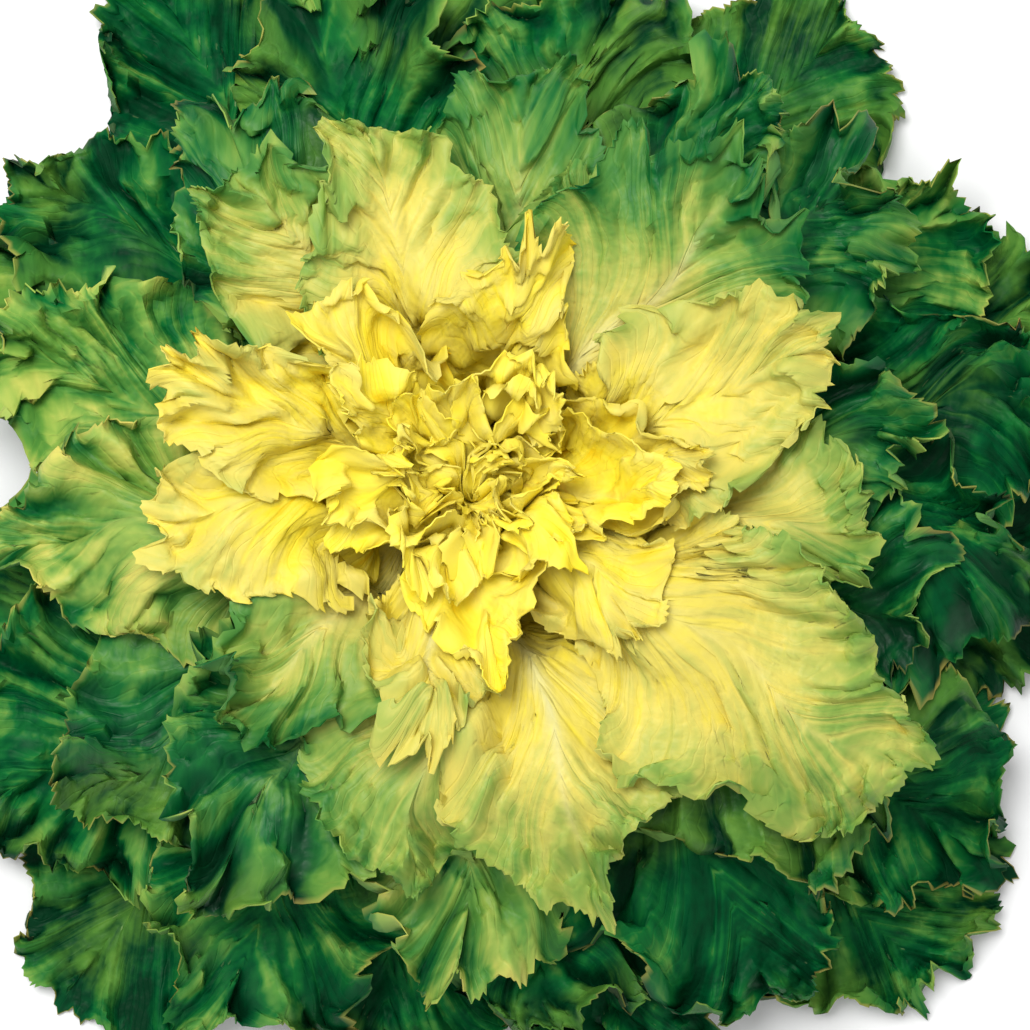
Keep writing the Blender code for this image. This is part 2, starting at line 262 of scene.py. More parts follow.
@dataclass
class Ripples:
    """A smooth, irregular pattern of waves.

    Args:
        seed: What the waves are drawn from.
        longest: The longest wave, in mm.
        shortest: The shortest wave, in mm.
        count: How many waves are added up.
    """

    seed: int
    longest: float
    shortest: float
    count: int = 12
    waves: np.ndarray = field(init=False)

    def __post_init__(self) -> None:
        """Draw the length, heading and phase of every wave."""
        draw = np.random.default_rng(self.seed)
        length = np.exp(draw.uniform(np.log(self.shortest), np.log(self.longest), self.count))
        heading = draw.uniform(0.0, FULL_TURN, self.count)
        phase = draw.uniform(0.0, FULL_TURN, self.count)
        self.waves = np.stack((FULL_TURN / length, heading, phase))

    def along(self, place: np.ndarray) -> np.ndarray:
        """Return the pattern along a line, about -1 to 1."""
        rate, _, phase = self.waves
        return np.cos(place[..., None] * rate + phase).sum(axis=-1) / math.sqrt(self.count)

    def over(self, across: np.ndarray, along: np.ndarray) -> np.ndarray:
        """Read the pattern over a surface.

        Args:
            across: The places across the surface, in mm.
            along: The places along it, in mm.

        Returns:
            The pattern there, about -1 to 1.
        """
        rate, heading, phase = self.waves
        place = across[..., None] * np.cos(heading) + along[..., None] * np.sin(heading)
        return np.cos(place * rate + phase).sum(axis=-1) / math.sqrt(self.count)


class Waves(Enum):
    """The fine waves of a leaf.

    Each has a number that is added to the leaf's seed, its longest and shortest wave in mm, and
    how many waves are added up.
    """

    RUFFLE = (1, 42.0, 17.0, 12)
    FRILL = (2, 15.0, 7.5, 12)
    PUCKER = (3, 30.0, 13.0, 16)
    DIMPLE = (4, 12.0, 6.0, 16)
    CURL = (5, 110.0, 50.0, 5)
    VEIN = (6, 90.0, 30.0, 4)
    LOBE = (7, 34.0, 14.0, 12)
    PLEAT = (8, 40.0, 18.0, 12)

    def drawn(self, seed: int) -> Ripples:
        """Return these waves as the leaf with this seed has them."""
        added, longest, shortest, count = self.value
        return Ripples(seed + added, longest, shortest, count)


@dataclass(frozen=True)
class Sway:
    """One part of the crumple: what it is drawn from, its waves, shift and reach, in mm."""

    seed: int
    longest: float
    shortest: float
    size: float
    reach: float
    waves: int = 14

    def shift(self, place: np.ndarray) -> np.ndarray:
        """Work out how far this part moves places.

        Args:
            place: The places, in mm.

        Returns:
            The shift of each, in mm.
        """
        draw = np.random.default_rng(self.seed)
        length = np.exp(draw.uniform(np.log(self.shortest), np.log(self.longest), self.waves))
        heading = draw.normal(size=(self.waves, 3))
        heading = heading / np.linalg.norm(heading, axis=1, keepdims=True)
        phase = draw.uniform(0.0, FULL_TURN, self.waves)
        push = draw.normal(size=(self.waves, 3)) / math.sqrt(self.waves)
        swing = place @ (heading * (FULL_TURN / length)[:, None]).T + phase
        radius = np.hypot(place[..., 0], place[..., 1])
        near = 1.0 - smooth_step(radius, 0.5 * self.reach, self.reach)
        return self.size * near[..., None] * (np.cos(swing) @ push)


@dataclass(frozen=True)
class Crumple:
    """A soft, irregular shift that all leaves share, so that none passes through another.

    It fades out below the calm heights, and above the crown it flattens the highest points, in
    mm: the height where that starts, and how far above it anything may still stand.
    """

    parts: tuple = (
        Sway(801, 70.0, 38.0, 3.0, 400.0),
        Sway(802, 34.0, 18.0, 1.7, 90.0),
        Sway(803, 17.0, 11.0, 1.1, 48.0),
    )
    calm_height: tuple = (8.0, 30.0)
    crown: tuple = (100.0, 14.0)

    def apply(self, points: np.ndarray) -> np.ndarray:
        """Shift points.

        Args:
            points: The points, in metres.

        Returns:
            The shifted points, in metres.
        """
        place = points / MM
        shift = sum(part.shift(place) for part in self.parts)
        place = place + shift * smooth_step(place[..., 2], *self.calm_height)[..., None]
        start, room = self.crown
        over = np.maximum(place[..., 2] - start, 0.0)
        place[..., 2] += room * np.tanh(over / room) - over
        return place * MM


@dataclass(frozen=True)
class Relief:
    """How finely a kind of leaf is toothed, ruffled and puckered, in mm and radians.

    The heights of the teeth and the nod of the tip are drawn between the two given. The thickness
    is that of the blade and that of the midrib. The crest light is painted light and shade by wave
    height: above 0 it pales the crests as a painted highlight and darkens the hollows as painted
    shade, below 0 it turns the hollows golden as painted shade.
    """

    tooth_width: float
    tooth_height: tuple
    lobe: float
    ruffle: float
    frill: float
    pleat: float
    pucker: float
    curl: float
    vein_steps: int
    nod: tuple = (0.0, 0.0)
    nod_zone: float = 24.0
    bare_teeth: float = 0.2
    thickness: tuple = (0.5, 1.5)
    edge_paleness: float = 0.0
    # painted light and shade by wave height: pale crests as a painted highlight, darker or golden hollows as
    # painted shade
    crest_painted_light: float = 0.12


@dataclass
class Leaf:
    """One leaf: its place on the layers, its outline and its waves, in mm and degrees.

    The pairs from tip_rounds to droops are the ranges that its own form is drawn from.
    """

    name: str
    growth: Growth
    layer: float
    direction: float
    length: float
    width: float
    seed: int
    green: tuple
    rib: float = 0.3
    under_rib: float = 0.0
    foot_paleness: float = 0.0
    petiole_widths: tuple = (18.0, 7.0)
    widening: tuple = (0.10, 0.78)
    shoulder: tuple = (0.75, 1.0)
    shoulder_drop: float = 0.08
    tip_powers: tuple = (2.4, 1.5)
    lobe_waves: tuple = ((4.1, 1.0), (9.3, 0.9), (15.7, 0.5))
    lobe_reach: float = 0.045
    lobe_inset: float = 0.02
    ruffle_waves: tuple = ((1.15, 1.0), (2.0, 0.75))
    ruffle_width: float = 130.0
    calmer: float = 0.3
    pleat_count: float = 1.6
    pleat_height: float = 1.8
    midrib_drop: float = 1.5
    blade_start: tuple = (0.2, 0.7)
    margin_start: tuple = (0.18, 0.55)
    tip_rounds: tuple = (0.26, 0.38)
    leans: tuple = (-0.10, 0.10)
    wave_counts: tuple = (0.85, 1.25)
    wave_heights: tuple = (7.0, 10.0)
    cups: tuple = (-2.0, 6.0)
    twists: tuple = (-6.0, 6.0)
    droops: tuple = (0.0, 14.0)
    turn: float = field(init=False)
    petiole_width: float = field(init=False)
    tip_round: float = field(init=False)
    lean: float = field(init=False)
    lobe_phase: np.ndarray = field(init=False)
    wave_phase: np.ndarray = field(init=False)
    wave_count: float = field(init=False)
    wave_height: float = field(init=False)
    cup: float = field(init=False)
    twist: float = field(init=False)
    droop: float = field(init=False)

    def __post_init__(self) -> None:
        """Draw the leaf's own outline and waves."""
        draw = np.random.default_rng(self.seed)
        self.turn = math.radians(self.direction)
        self.petiole_width = between(self.petiole_widths, self.layer)
        self.tip_round = draw.uniform(*self.tip_rounds)
        self.lean = draw.uniform(*self.leans)
        self.lobe_phase = draw.uniform(0.0, FULL_TURN, 3)
        self.wave_phase = draw.uniform(0.0, FULL_TURN, 3)
        self.wave_count = draw.uniform(*self.wave_counts)
        self.wave_height = draw.uniform(*self.wave_heights) * self.width / self.ruffle_width
        self.wave_height *= 1.0 - self.calmer * self.layer
        self.cup = draw.uniform(*self.cups)
        self.twist = draw.uniform(*self.twists)
        self.droop = draw.uniform(*self.droops) * (1.0 - self.layer)

    def place(self, rise: np.ndarray, side: np.ndarray) -> tuple:
        """Return where a point of the leaf is.

        Args:
            rise: The share of the leaf's length, 0 at its foot and 1 at its tip.
            side: The share of its half width, -1 to 1.

        Returns:
            The distance along the midrib and the distance across it, in mm.
        """
        blade = smooth_step(rise, *self.widening)
        shoulder = 1.0 - self.shoulder_drop * smooth_step(rise, *self.shoulder)
        half = 0.5 * between((self.petiole_width, self.width), blade) * shoulder
        corner = np.abs(side) ** self.tip_powers[0] * rise ** self.tip_powers[1]
        along = self.length * rise * (1.0 - self.tip_round * corner)
        across = half * side + self.lean * self.length * rise**2
        lobes = self.lobes(side * (2.0 - rise)) * self.edge(rise, side) ** 3
        along = along + lobes * rise**3
        across = across + lobes * side**3 * smooth_step(rise, *self.blade_start)
        return np.maximum(along, 0.0), across

    def lobes(self, round_edge: np.ndarray) -> np.ndarray:
        """Work out how far the lobes stand out.

        Args:
            round_edge: Places round the margin, from -2 over the tip at 0 to 2.

        Returns:
            The reach of the lobes there, in mm.
        """
        waves = zip(self.lobe_waves, self.lobe_phase)
        reach = sum(strong * np.cos(count * round_edge + phase) for (count, strong), phase in waves)
        return self.width * (self.lobe_reach * reach - self.lobe_inset)

    def edge(self, rise: np.ndarray, side: np.ndarray) -> np.ndarray:
        """Return 1 on the blade's margin, falling to 0 at the midrib and on the petiole."""
        inside = (1.0 - np.abs(side) ** 2.5) * (1.0 - np.clip(rise, 0.0, 1.0) ** 4)
        return (1.0 - inside) * smooth_step(rise, *self.margin_start)

    def lift(self, rise: np.ndarray, side: np.ndarray) -> np.ndarray:
        """Work out how far the leaf's own form lifts it off its layer.

        Args:
            rise: The share of the leaf's length, 0 at its foot and 1 at its tip.
            side: The share of its half width, -1 to 1.

        Returns:
            The lift, in mm.
        """
        edge = self.edge(rise, side)
        swing = FULL_TURN * self.wave_count * side * (2.0 - rise)
        waves = zip(self.ruffle_waves, self.wave_phase)
        ruffles = sum(strong * np.sin(count * swing + phase) for (count, strong), phase in waves)
        pleats = np.cos(self.pleat_count * swing + self.wave_phase[2]) * (1.0 - edge)
        form = self.pleat_height * pleats - self.midrib_drop * (1.0 - side**2)
        form = (form + self.cup * side**2 + self.twist * side) * smooth_step(rise, *self.blade_start)
        return self.wave_height * ruffles * edge**2 + form - self.droop * rise**4


@dataclass
class LayerMap:
    """Remembers, all round the stem, the highest layer that a leaf has reached.

    Cells, reach and clearances are in mm and degrees. The lowest layers to try are given as the
    first, the last and how many. Places are read no nearer to the map's end than rows_at_end.
    """

    layers: Layers
    cell_length: float = 4.0
    cell_angle: float = 2.0
    reach: float = 240.0
    spread: int = 2
    table_clearance: float = 1.5
    lowest_layers: tuple = (0.0, 0.4, 401)
    rows_at_end: float = 1.001
    unreached: float = -1.0
    clearance: tuple = (1.4, 2.4)
    foot: tuple = (10.0, 60.0)
    top: np.ndarray = field(init=False)

    def __post_init__(self) -> None:
        """Start with the lowest layer that clears the table."""
        along = np.arange(round(self.reach / self.cell_length)) * self.cell_length
        layers = np.linspace(*self.lowest_layers)
        heights = self.layers.profile(layers[:, None], along[None, :])[1]
        lowest = layers[np.argmax(heights >= self.table_clearance, axis=0)]
        self.top = np.repeat(lowest[:, None], round(360.0 / self.cell_angle), axis=1)

    def read(self, along: np.ndarray, angle: np.ndarray) -> np.ndarray:
        """Read the map.

        Args:
            along: Distances along the layers, in mm.
            angle: Directions round the stem, in radians.

        Returns:
            The layer on the map at these places.
        """
        rows, columns = self.top.shape
        row = np.clip(along / self.cell_length, 0.0, rows - self.rows_at_end)
        column = np.degrees(angle) / self.cell_angle % columns
        return sample(np.hstack((self.top, self.top[:, :1])), row, column)

    def add(self, along: np.ndarray, angle: np.ndarray, layer: np.ndarray) -> None:
        """Raise the map over a leaf.

        Args:
            along: The distances of its points along the layers, in mm.
            angle: Their directions round the stem, in radians.
            layer: Their layers.
        """
        rows, columns = self.top.shape
        row = np.clip(np.rint(along / self.cell_length).astype(int), 0, rows - 1)
        column = np.rint(np.degrees(angle) / self.cell_angle).astype(int) % columns
        reach = np.full_like(self.top, self.unreached)
        np.maximum.at(reach, (row, column), layer)
        for _ in range(self.spread):
            sides = np.maximum(np.roll(reach, 1, axis=1), np.roll(reach, -1, axis=1))
            reach = np.maximum(reach, sides)
            reach = -least_of_rows(-reach)
        self.top = np.maximum(self.top, reach)

    def add_with_room(self, drape: tuple, share: float) -> None:
        """Raise the map over a leaf and the room that the next leaf keeps above it.

        Args:
            drape: The leaf's layer, along, angle and depth.
            share: The share of the usual room.
        """
        layer, along, angle, depth = drape
        room = between(self.clearance, smooth_step(along, *self.foot)) * share
        self.add(along, angle, layer + room / depth)


@dataclass
class VeinFan:
    """The places on a leaf that its mesh is made from: veins that run from midrib to margin.

    Row 0 is the foot and the last row the tip. Along a row the places run from one margin over
    the midrib to the other. On the last row the two halves are the same places.
    """

    leaf: Leaf
    relief: Relief
    squareness: float = 5.0
    margin_places: int = 900
    vein_slant: float = 1.7
    vein_crowding: float = 1.3
    vein_start: float = 0.94
    row_gap: float = 0.02
    bare_share: tuple = (0.22, 0.42)
    tooth_steps: tuple = ((0.62, 1.0), (1.0, 0.0))
    tooth_widths: tuple = (0.6, 1.4)
    tooth_power: float = 1.6
    tooth_seed: int = 5000
    lobe_inset: float = 0.7
    reach: np.ndarray = field(init=False)
    rise: np.ndarray = field(init=False)
    side: np.ndarray = field(init=False)
    tooth: np.ndarray = field(init=False)
    lobe: np.ndarray = field(init=False)
    arc: np.ndarray = field(init=False)
    away: np.ndarray = field(init=False)

    def __post_init__(self) -> None:
        """Work out the margins, their teeth and all the places between them."""
        draw = np.random.default_rng(self.leaf.seed + self.tooth_seed)
        halves = [self.margin(hand) for hand in (-1.0, 1.0)]
        lengths = [arc[-1] for _, _, arc in halves]
        teeth = round(max(lengths) / self.relief.tooth_width)
        sides = [self.toothed(half, teeth, draw, sum(lengths)) for half in halves]
        share = np.linspace(0.0, 1.0, self.relief.vein_steps + 1)
        share = 1.0 - (1.0 - share) ** self.vein_crowding
        self.reach = np.concatenate((share[::-1], share[1:]))[None, :]
        hands = [0] * len(share) + [1] * (len(share) - 1)
        rises, spans, self.tooth, self.lobe, self.arc, self.away = (
            np.stack((sides[0][part], sides[1][part]), axis=1)[:, hands] for part in range(6)
        )
        middle = 0.5 * (sides[0][0] + sides[1][0])
        span = 0.5 * self.leaf.width * smooth_step(middle, *self.leaf.widening)
        wide = 0.5 * (np.abs(sides[0][1]) + np.abs(sides[1][1]))
        slant = self.vein_slant * span * wide / self.leaf.length
        start = np.maximum.accumulate(np.maximum(self.vein_start * middle - slant, 0.0))
        start = start + self.row_gap * np.linspace(0.0, 1.0, len(start))
        self.rise = start[:, None] + (rises - start[:, None]) * self.reach
        self.side = spans * self.reach

    def margin(self, hand: float) -> tuple:
        """Follow one margin from its foot to the tip.

        Args:
            hand: Which margin, -1 or 1.

        Returns:
            Rise, side and the distance along it, in mm.
        """
        turn = np.linspace(0.0, 0.5 * math.pi, self.margin_places)
        side = hand * np.cos(turn) ** (2.0 / self.squareness)
        rise = np.sin(turn) ** (2.0 / self.squareness)
        side[-1] = 0.0
        along, across = self.leaf.place(rise, side)
        steps = np.hypot(np.diff(along), np.diff(across))
        return rise, side, np.concatenate(([0.0], np.cumsum(steps)))

    def toothed(self, half: tuple, teeth: int, draw: np.random.Generator, whole: float) -> tuple:
        """Place teeth along one margin.

        Args:
            half: The margin's rise, side and distance along it.
            teeth: How many teeth, or steps of a tooth's width, it has.
            draw: What the widths and heights are drawn from.
            whole: The length of both margins together, in mm.

        Returns:
            At each step rise, side, the reach of teeth and of lobes in mm, the distance from the
            half's own foot, and the distance right round the leaf.
        """
        rise, side, arc = half
        widths = draw.uniform(*self.tooth_widths, teeth)
        ends = np.concatenate(([0.0], np.cumsum(widths))) / widths.sum()
        heights = between(self.relief.tooth_height, draw.uniform(0.0, 1.0, teeth) ** self.tooth_power)
        places = [0.0]
        reach = [0.0]
        for index, (start, end, height) in enumerate(zip(ends[:-1], ends[1:], heights)):
            grown = smooth_step(start, *self.bare_share) * height
            bare = index < self.relief.bare_teeth * teeth
            for share, tall in self.tooth_steps[-1:] if bare else self.tooth_steps:
                places.append(between((start, end), share))
                reach.append(grown * tall)
        at = np.array(places) * arc[-1]
        grown = smooth_step(np.array(places), *self.bare_share)
        away = at if side[0] < 0.0 else whole - at
        lobes = np.abs(Waves.LOBE.drawn(self.leaf.seed).along(away)) - self.lobe_inset
        lobes = self.relief.lobe * lobes * grown
        return np.interp(at, arc, rise), np.interp(at, arc, side), np.array(reach), lobes, at, away


@dataclass
class Patch:
    """A leaf on its way to a mesh: its fan, main form and the room above it."""

    leaf: Leaf
    relief: Relief
    fan: VeinFan
    along: np.ndarray
    across: np.ndarray
    layer: np.ndarray
    free: bool = False
    ceiling: np.ndarray | None = None
    crest: np.ndarray | None = None
    from_edge: np.ndarray | None = None


@dataclass(frozen=True)
class Spread:
    """Where on a leaf its fine forms lie and how large they are, in mm, radians and shares.

    A pair is where a form starts and where it is fully there.
    """

    grown: tuple = (0.22, 0.5)
    margin_zone: float = 24.0
    frill_zone: float = 9.0
    curl_zone: float = 18.0
    wander: float = 4.0
    ruffle_rise: float = 0.35
    pleat_drop: float = 0.55
    pleat_reach: tuple = (0.05, 0.5)
    pucker_drop: float = 0.5
    dimple_share: float = 0.45
    pucker_rise: tuple = (0.12, 0.4)
    rib_groove: float = 0.9
    curl_onset: tuple = (0.1, 1.0)
    curl_room: tuple = (5.0, 11.0)
    least_turn: float = 1e-3
    tooth_inset: float = 0.8
    tooth_reach: tuple = (0.90, 1.0)
    lobe_reach: tuple = (0.6, 1.0)
    nod_seed: int = 9


@dataclass
class Head:
    """Lays the leaves over one another and works out their points, in mm."""

    layers: Layers = field(default_factory=Layers)
    crumple: Crumple = field(default_factory=Crumple)
    spread: Spread = field(default_factory=Spread)
    softness: float = 0.006
    touch: float = 0.4
    innermost: float = 1.04
    tightest: float = 1.11
    main_overhang: float = 1.02
    main_cells: tuple = (70, 71)
    blur_passes: int = 7
    fine_cell: tuple = (2.0, 1.0)
    fine_clearance: float = 1.0
    no_ceiling: float = -2.0
    contact: float = 0.9
    room_limits: tuple = (0.05, 12.0)
    narrow_passes: int = 2
    soften_passes: int = 8
    steepest: float = 2.2
    least_step: float = 0.02
    least_length: float = 1e-6
    lateral_spacing: float = 15.0
    vein_jitter: float = 0.35
    rib_width: float = 0.42
    rib_taper: float = 0.82
    rib_taper_zone: tuple = (0.0, 0.9)
    rib_least: float = 0.4
    rib_end: tuple = (0.55, 0.95)
    patches: list = field(default_factory=list)

    def __post_init__(self) -> None:
        """Start the map of the main forms."""
        self.coarse = LayerMap(self.layers)

    def drape(self, leaf: Leaf, rise: np.ndarray, side: np.ndarray) -> tuple:
        """Lay a leaf's points over the leaves below.

        Args:
            leaf: The leaf.
            rise: The shares of its length.
            side: The shares of its half width.

        Returns:
            Layer, along, angle and depth of the points.
        """
        along, across = leaf.place(rise, side)
        depth = self.layers.depth(leaf.layer, along)
        angle = leaf.turn + across / self.layers.profile(leaf.layer, along)[0]
        below = self.coarse.read(along, angle)
        gap = leaf.layer + leaf.lift(rise, side) / depth - below
        layer = below + soft_rise(gap, self.softness)
        return np.minimum(layer, self.innermost), along, angle, depth

    def lay_free(self, leaf: Leaf, relief: Relief) -> None:
        """Lay a small leaf on its own layer, whatever lies there.

        Args:
            leaf: The leaf.
            relief: The sizes of its teeth and ruffles.
        """
        fan = VeinFan(leaf, relief)
        along, across = leaf.place(fan.rise, fan.side)
        layer = leaf.layer + leaf.lift(fan.rise, fan.side) / self.layers.depth(leaf.layer, along)
        self.patches.append(Patch(leaf, relief, fan, along, across, layer, True))

    def lay(self, leaf: Leaf, relief: Relief, share: float = 1.0) -> None:
        """Lay a leaf's main form over the leaves that are there.

        Args:
            leaf: The leaf.
            relief: The sizes of its teeth and ruffles.
            share: The share of the usual room that the next leaf keeps above it.
        """
        past = self.main_overhang
        rises = np.linspace(0.0, past, self.main_cells[0])
        sides = np.linspace(-past, past, self.main_cells[1])
        drape = self.drape(leaf, *np.meshgrid(rises, sides))
        self.coarse.add_with_room(drape, share)
        smooth = drape[0]
        for _ in range(self.blur_passes):
            smooth = blur_rows(smooth)
            smooth = blur_rows(smooth.T).T
        fan = VeinFan(leaf, relief)
        row = (fan.side / past + 1.0) * 0.5 * (len(sides) - 1)
        column = (fan.rise / past) * (len(rises) - 1)
        along, across = leaf.place(fan.rise, fan.side)
        self.patches.append(Patch(leaf, relief, fan, along, across, sample(smooth, row, column)))

    def angle(self, patch: Patch, along: np.ndarray, across: np.ndarray) -> np.ndarray:
        """Return the direction round the stem of a leaf's points."""
        return patch.leaf.turn + across / self.layers.profile(patch.leaf.layer, along)[0]

    def find_ceilings(self) -> None:
        """Work out, for every leaf, the lowest layer that the leaves above it reach."""
        above = LayerMap(self.layers, *self.fine_cell)
        above.top = np.full_like(above.top, self.no_ceiling)
        for patch in reversed(self.patches):
            angle = self.angle(patch, patch.along, patch.across)
            patch.ceiling = -above.read(patch.along, angle)
            if not patch.free:
                above.add(patch.along, angle, -patch.layer)

    def outward(self, patch: Patch) -> tuple:
        """Find the way from every point of a leaf to its margin.

        Args:
            patch: The leaf with its main form.

        Returns:
            The along and the across part of that direction, and the distance in mm.
        """
        middle = patch.relief.vein_steps
        steps = []
        for place in (patch.along, patch.across):
            step = place - np.roll(place, 1, axis=1)
            step[:, : middle + 1] = place[:, : middle + 1] - place[:, 1 : middle + 2]
            steps.append(step)
        length = np.hypot(*steps) + self.least_length
        edge = [0] * (middle + 1) + [-1] * middle
        distance = np.hypot(patch.along - patch.along[:, edge], patch.across - patch.across[:, edge])
        return steps[0] / length, steps[1] / length, distance

    def room_above(self, patch: Patch, depth: np.ndarray) -> np.ndarray:
        """Press a leaf softly under the leaves above it and find the room that it has then.

        Args:
            patch: The leaf with its main form.
            depth: How many mm one unit of layer spans at its points.

        Returns:
            The room above its points, in mm.
        """
        if not patch.free:
            limit = patch.ceiling - self.contact / depth
            patch.layer = limit - soft_rise(limit - patch.layer, self.touch / depth)
        above = np.clip((patch.ceiling - patch.layer) * depth - self.contact, *self.room_limits)
        wider = above
        for _ in range(self.narrow_passes):
            wider = least_of_rows(wider)
        for _ in range(self.soften_passes):
            wider = blur_rows(wider)
        return np.minimum(above, wider)

    def fine_waves(self, patch: Patch, grown: np.ndarray) -> np.ndarray:
        """Add up a leaf's ruffles, frills, pleats and puckers as if there were room for all.

        Args:
            patch: The leaf with its main form.
            grown: How far the blade is grown at its points, 0 to 1.

        Returns:
            The height of the waves, in mm.
        """
        seed, relief, fan, spread = patch.leaf.seed, patch.relief, patch.fan, self.spread
        wide = Waves.PUCKER.drawn(seed).over(patch.across, patch.along)
        small = Waves.DIMPLE.drawn(seed).over(patch.across, patch.along)
        away = fan.away + spread.wander * wide
        ruffles = Waves.RUFFLE.drawn(seed).along(away) + spread.ruffle_rise
        frills = Waves.FRILL.drawn(seed).along(away)
        pleats = np.abs(Waves.PLEAT.drawn(seed).along(away)) - spread.pleat_drop
        waves = relief.ruffle * ruffles * bell(patch.from_edge, spread.margin_zone)
        waves = waves + relief.frill * frills * bell(patch.from_edge, spread.frill_zone)
        waves = waves + relief.pleat * pleats * smooth_step(fan.reach, *spread.pleat_reach)
        puckers = np.abs(wide) - spread.pucker_drop
        puckers = puckers + spread.dimple_share * (np.abs(small) - spread.pucker_drop)
        puckers = relief.pucker * puckers * smooth_step(fan.rise, *spread.pucker_rise)
        return waves * grown + puckers - spread.rib_groove * self.rib(patch)

    def fine_form(self, patch: Patch, floor: LayerMap) -> tuple:
        """Add teeth, ruffles, puckers and curls to a leaf, as far as there is room.

        Args:
            patch: The leaf with its main form.
            floor: The map of the finished leaves below it.

        Returns:
            Layer, along and across of its points.
        """
        leaf, relief, fan, spread = patch.leaf, patch.relief, patch.fan, self.spread
        depth = self.layers.depth(leaf.layer, patch.along)
        out_along, out_across, patch.from_edge = self.outward(patch)
        above = self.room_above(patch, depth)
        below = patch.layer - floor.read(patch.along, self.angle(patch, patch.along, patch.across))
        below = np.clip(below * depth, *self.room_limits)
        grown = smooth_step(fan.rise, *spread.grown)
        waves = self.fine_waves(patch, grown)
        patch.crest = waves

        roll = Waves.CURL.drawn(leaf.seed).along(fan.away)
        turn = relief.curl * smooth_step(roll, *spread.curl_onset)
        turn = turn * smooth_step(above, *spread.curl_room) * grown
        turn = np.maximum(turn, spread.least_turn)
        pulled, curled = bent(spread.curl_zone - patch.from_edge, spread.curl_zone, turn)
        upward, downward = above * np.tanh(waves / above), -below * np.tanh(-waves / below)
        lifted = np.where(waves > 0.0, upward, downward) + curled

        teeth = fan.tooth - spread.tooth_inset * grown
        out = pulled + teeth * smooth_step(fan.reach, *spread.tooth_reach)
        out = out + fan.lobe * smooth_step(fan.reach, *spread.lobe_reach)
        share = float(np.random.default_rng(leaf.seed + spread.nod_seed).random())
        nod = between(relief.nod, share) + spread.least_turn
        drawn_in, nodded = bent(patch.along - leaf.length + relief.nod_zone, relief.nod_zone, nod)
        along = np.maximum(patch.along + out * out_along + drawn_in, 0.0)
        across = patch.across + out * out_across
        travel = self.layers.travel(leaf.layer, along)
        height = (patch.layer - leaf.layer + (lifted + nodded) / depth) * travel
        layer = leaf.layer + self.ease(height, along, across) / travel
        if patch.free:
            return np.minimum(layer, self.tightest), along, across
        below = floor.read(along, self.angle(patch, along, across))
        layer = below + soft_rise(layer - below, self.touch / depth)
        height = (leaf.layer - layer) * travel
        height = self.ease(self.ease(height.T, along.T, across.T).T, along, across)
        return leaf.layer - height / travel, along, across

    def ease(self, height: np.ndarray, along: np.ndarray, across: np.ndarray) -> np.ndarray:
        """Lower what stands up too steeply beside its neighbours in the rows before and after.

        Args:
            height: Heights in mm, row by row.
            along: Where the points are along the leaf, in mm.
            across: Where they are across it, in mm.

        Returns:
            The eased heights.
        """
        room = np.hypot(np.diff(along, axis=0), np.diff(across, axis=0))
        room = self.steepest * room + self.least_step
        eased = height.copy()
        for row in range(1, len(eased)):
            eased[row] = np.minimum(eased[row], eased[row - 1] + room[row - 1])
        for row in range(len(eased) - 2, -1, -1):
            eased[row] = np.minimum(eased[row], eased[row + 1] + room[row])
        return eased

    def vein_phase(self, patch: Patch) -> np.ndarray:
        """Return a number that grows by 1 from each lateral vein to the next."""
        jitter = Waves.VEIN.drawn(patch.leaf.seed).along(patch.fan.arc)
        return patch.fan.arc / self.lateral_spacing + self.vein_jitter * jitter

    def rib(self, patch: Patch) -> np.ndarray:
        """Find the midrib.

        Args:
            patch: The leaf.

        Returns:
            1 on the midrib, falling to 0 beside it and at the tip.
        """
        leaf, fan = patch.leaf, patch.fan
        taper = 1.0 - self.rib_taper * smooth_step(fan.rise, *self.rib_taper_zone)
        half = self.rib_width * leaf.petiole_width * taper + self.rib_least
        across = patch.across - leaf.lean * leaf.length * fan.rise**2
        return bell(across, half) * (1.0 - smooth_step(fan.rise, *self.rib_end))

    def finish_leaves(self) -> list:
        """Give every leaf its fine form, from the lowest up.

        Returns:
            For every leaf, its patch and the x, y, z in metres of its points.
        """
        floor = LayerMap(self.layers, *self.fine_cell, table_clearance=self.fine_clearance)
        done = []
        for patch in self.patches:
            layer, along, across = self.fine_form(patch, floor)
            angle = self.angle(patch, along, across)
            if not patch.free:
                floor.add(along, angle, layer + self.contact / self.layers.depth(patch.leaf.layer, along))
            done.append((patch, self.crumple.apply(self.layers.to_space(layer, along, angle))))
        return done


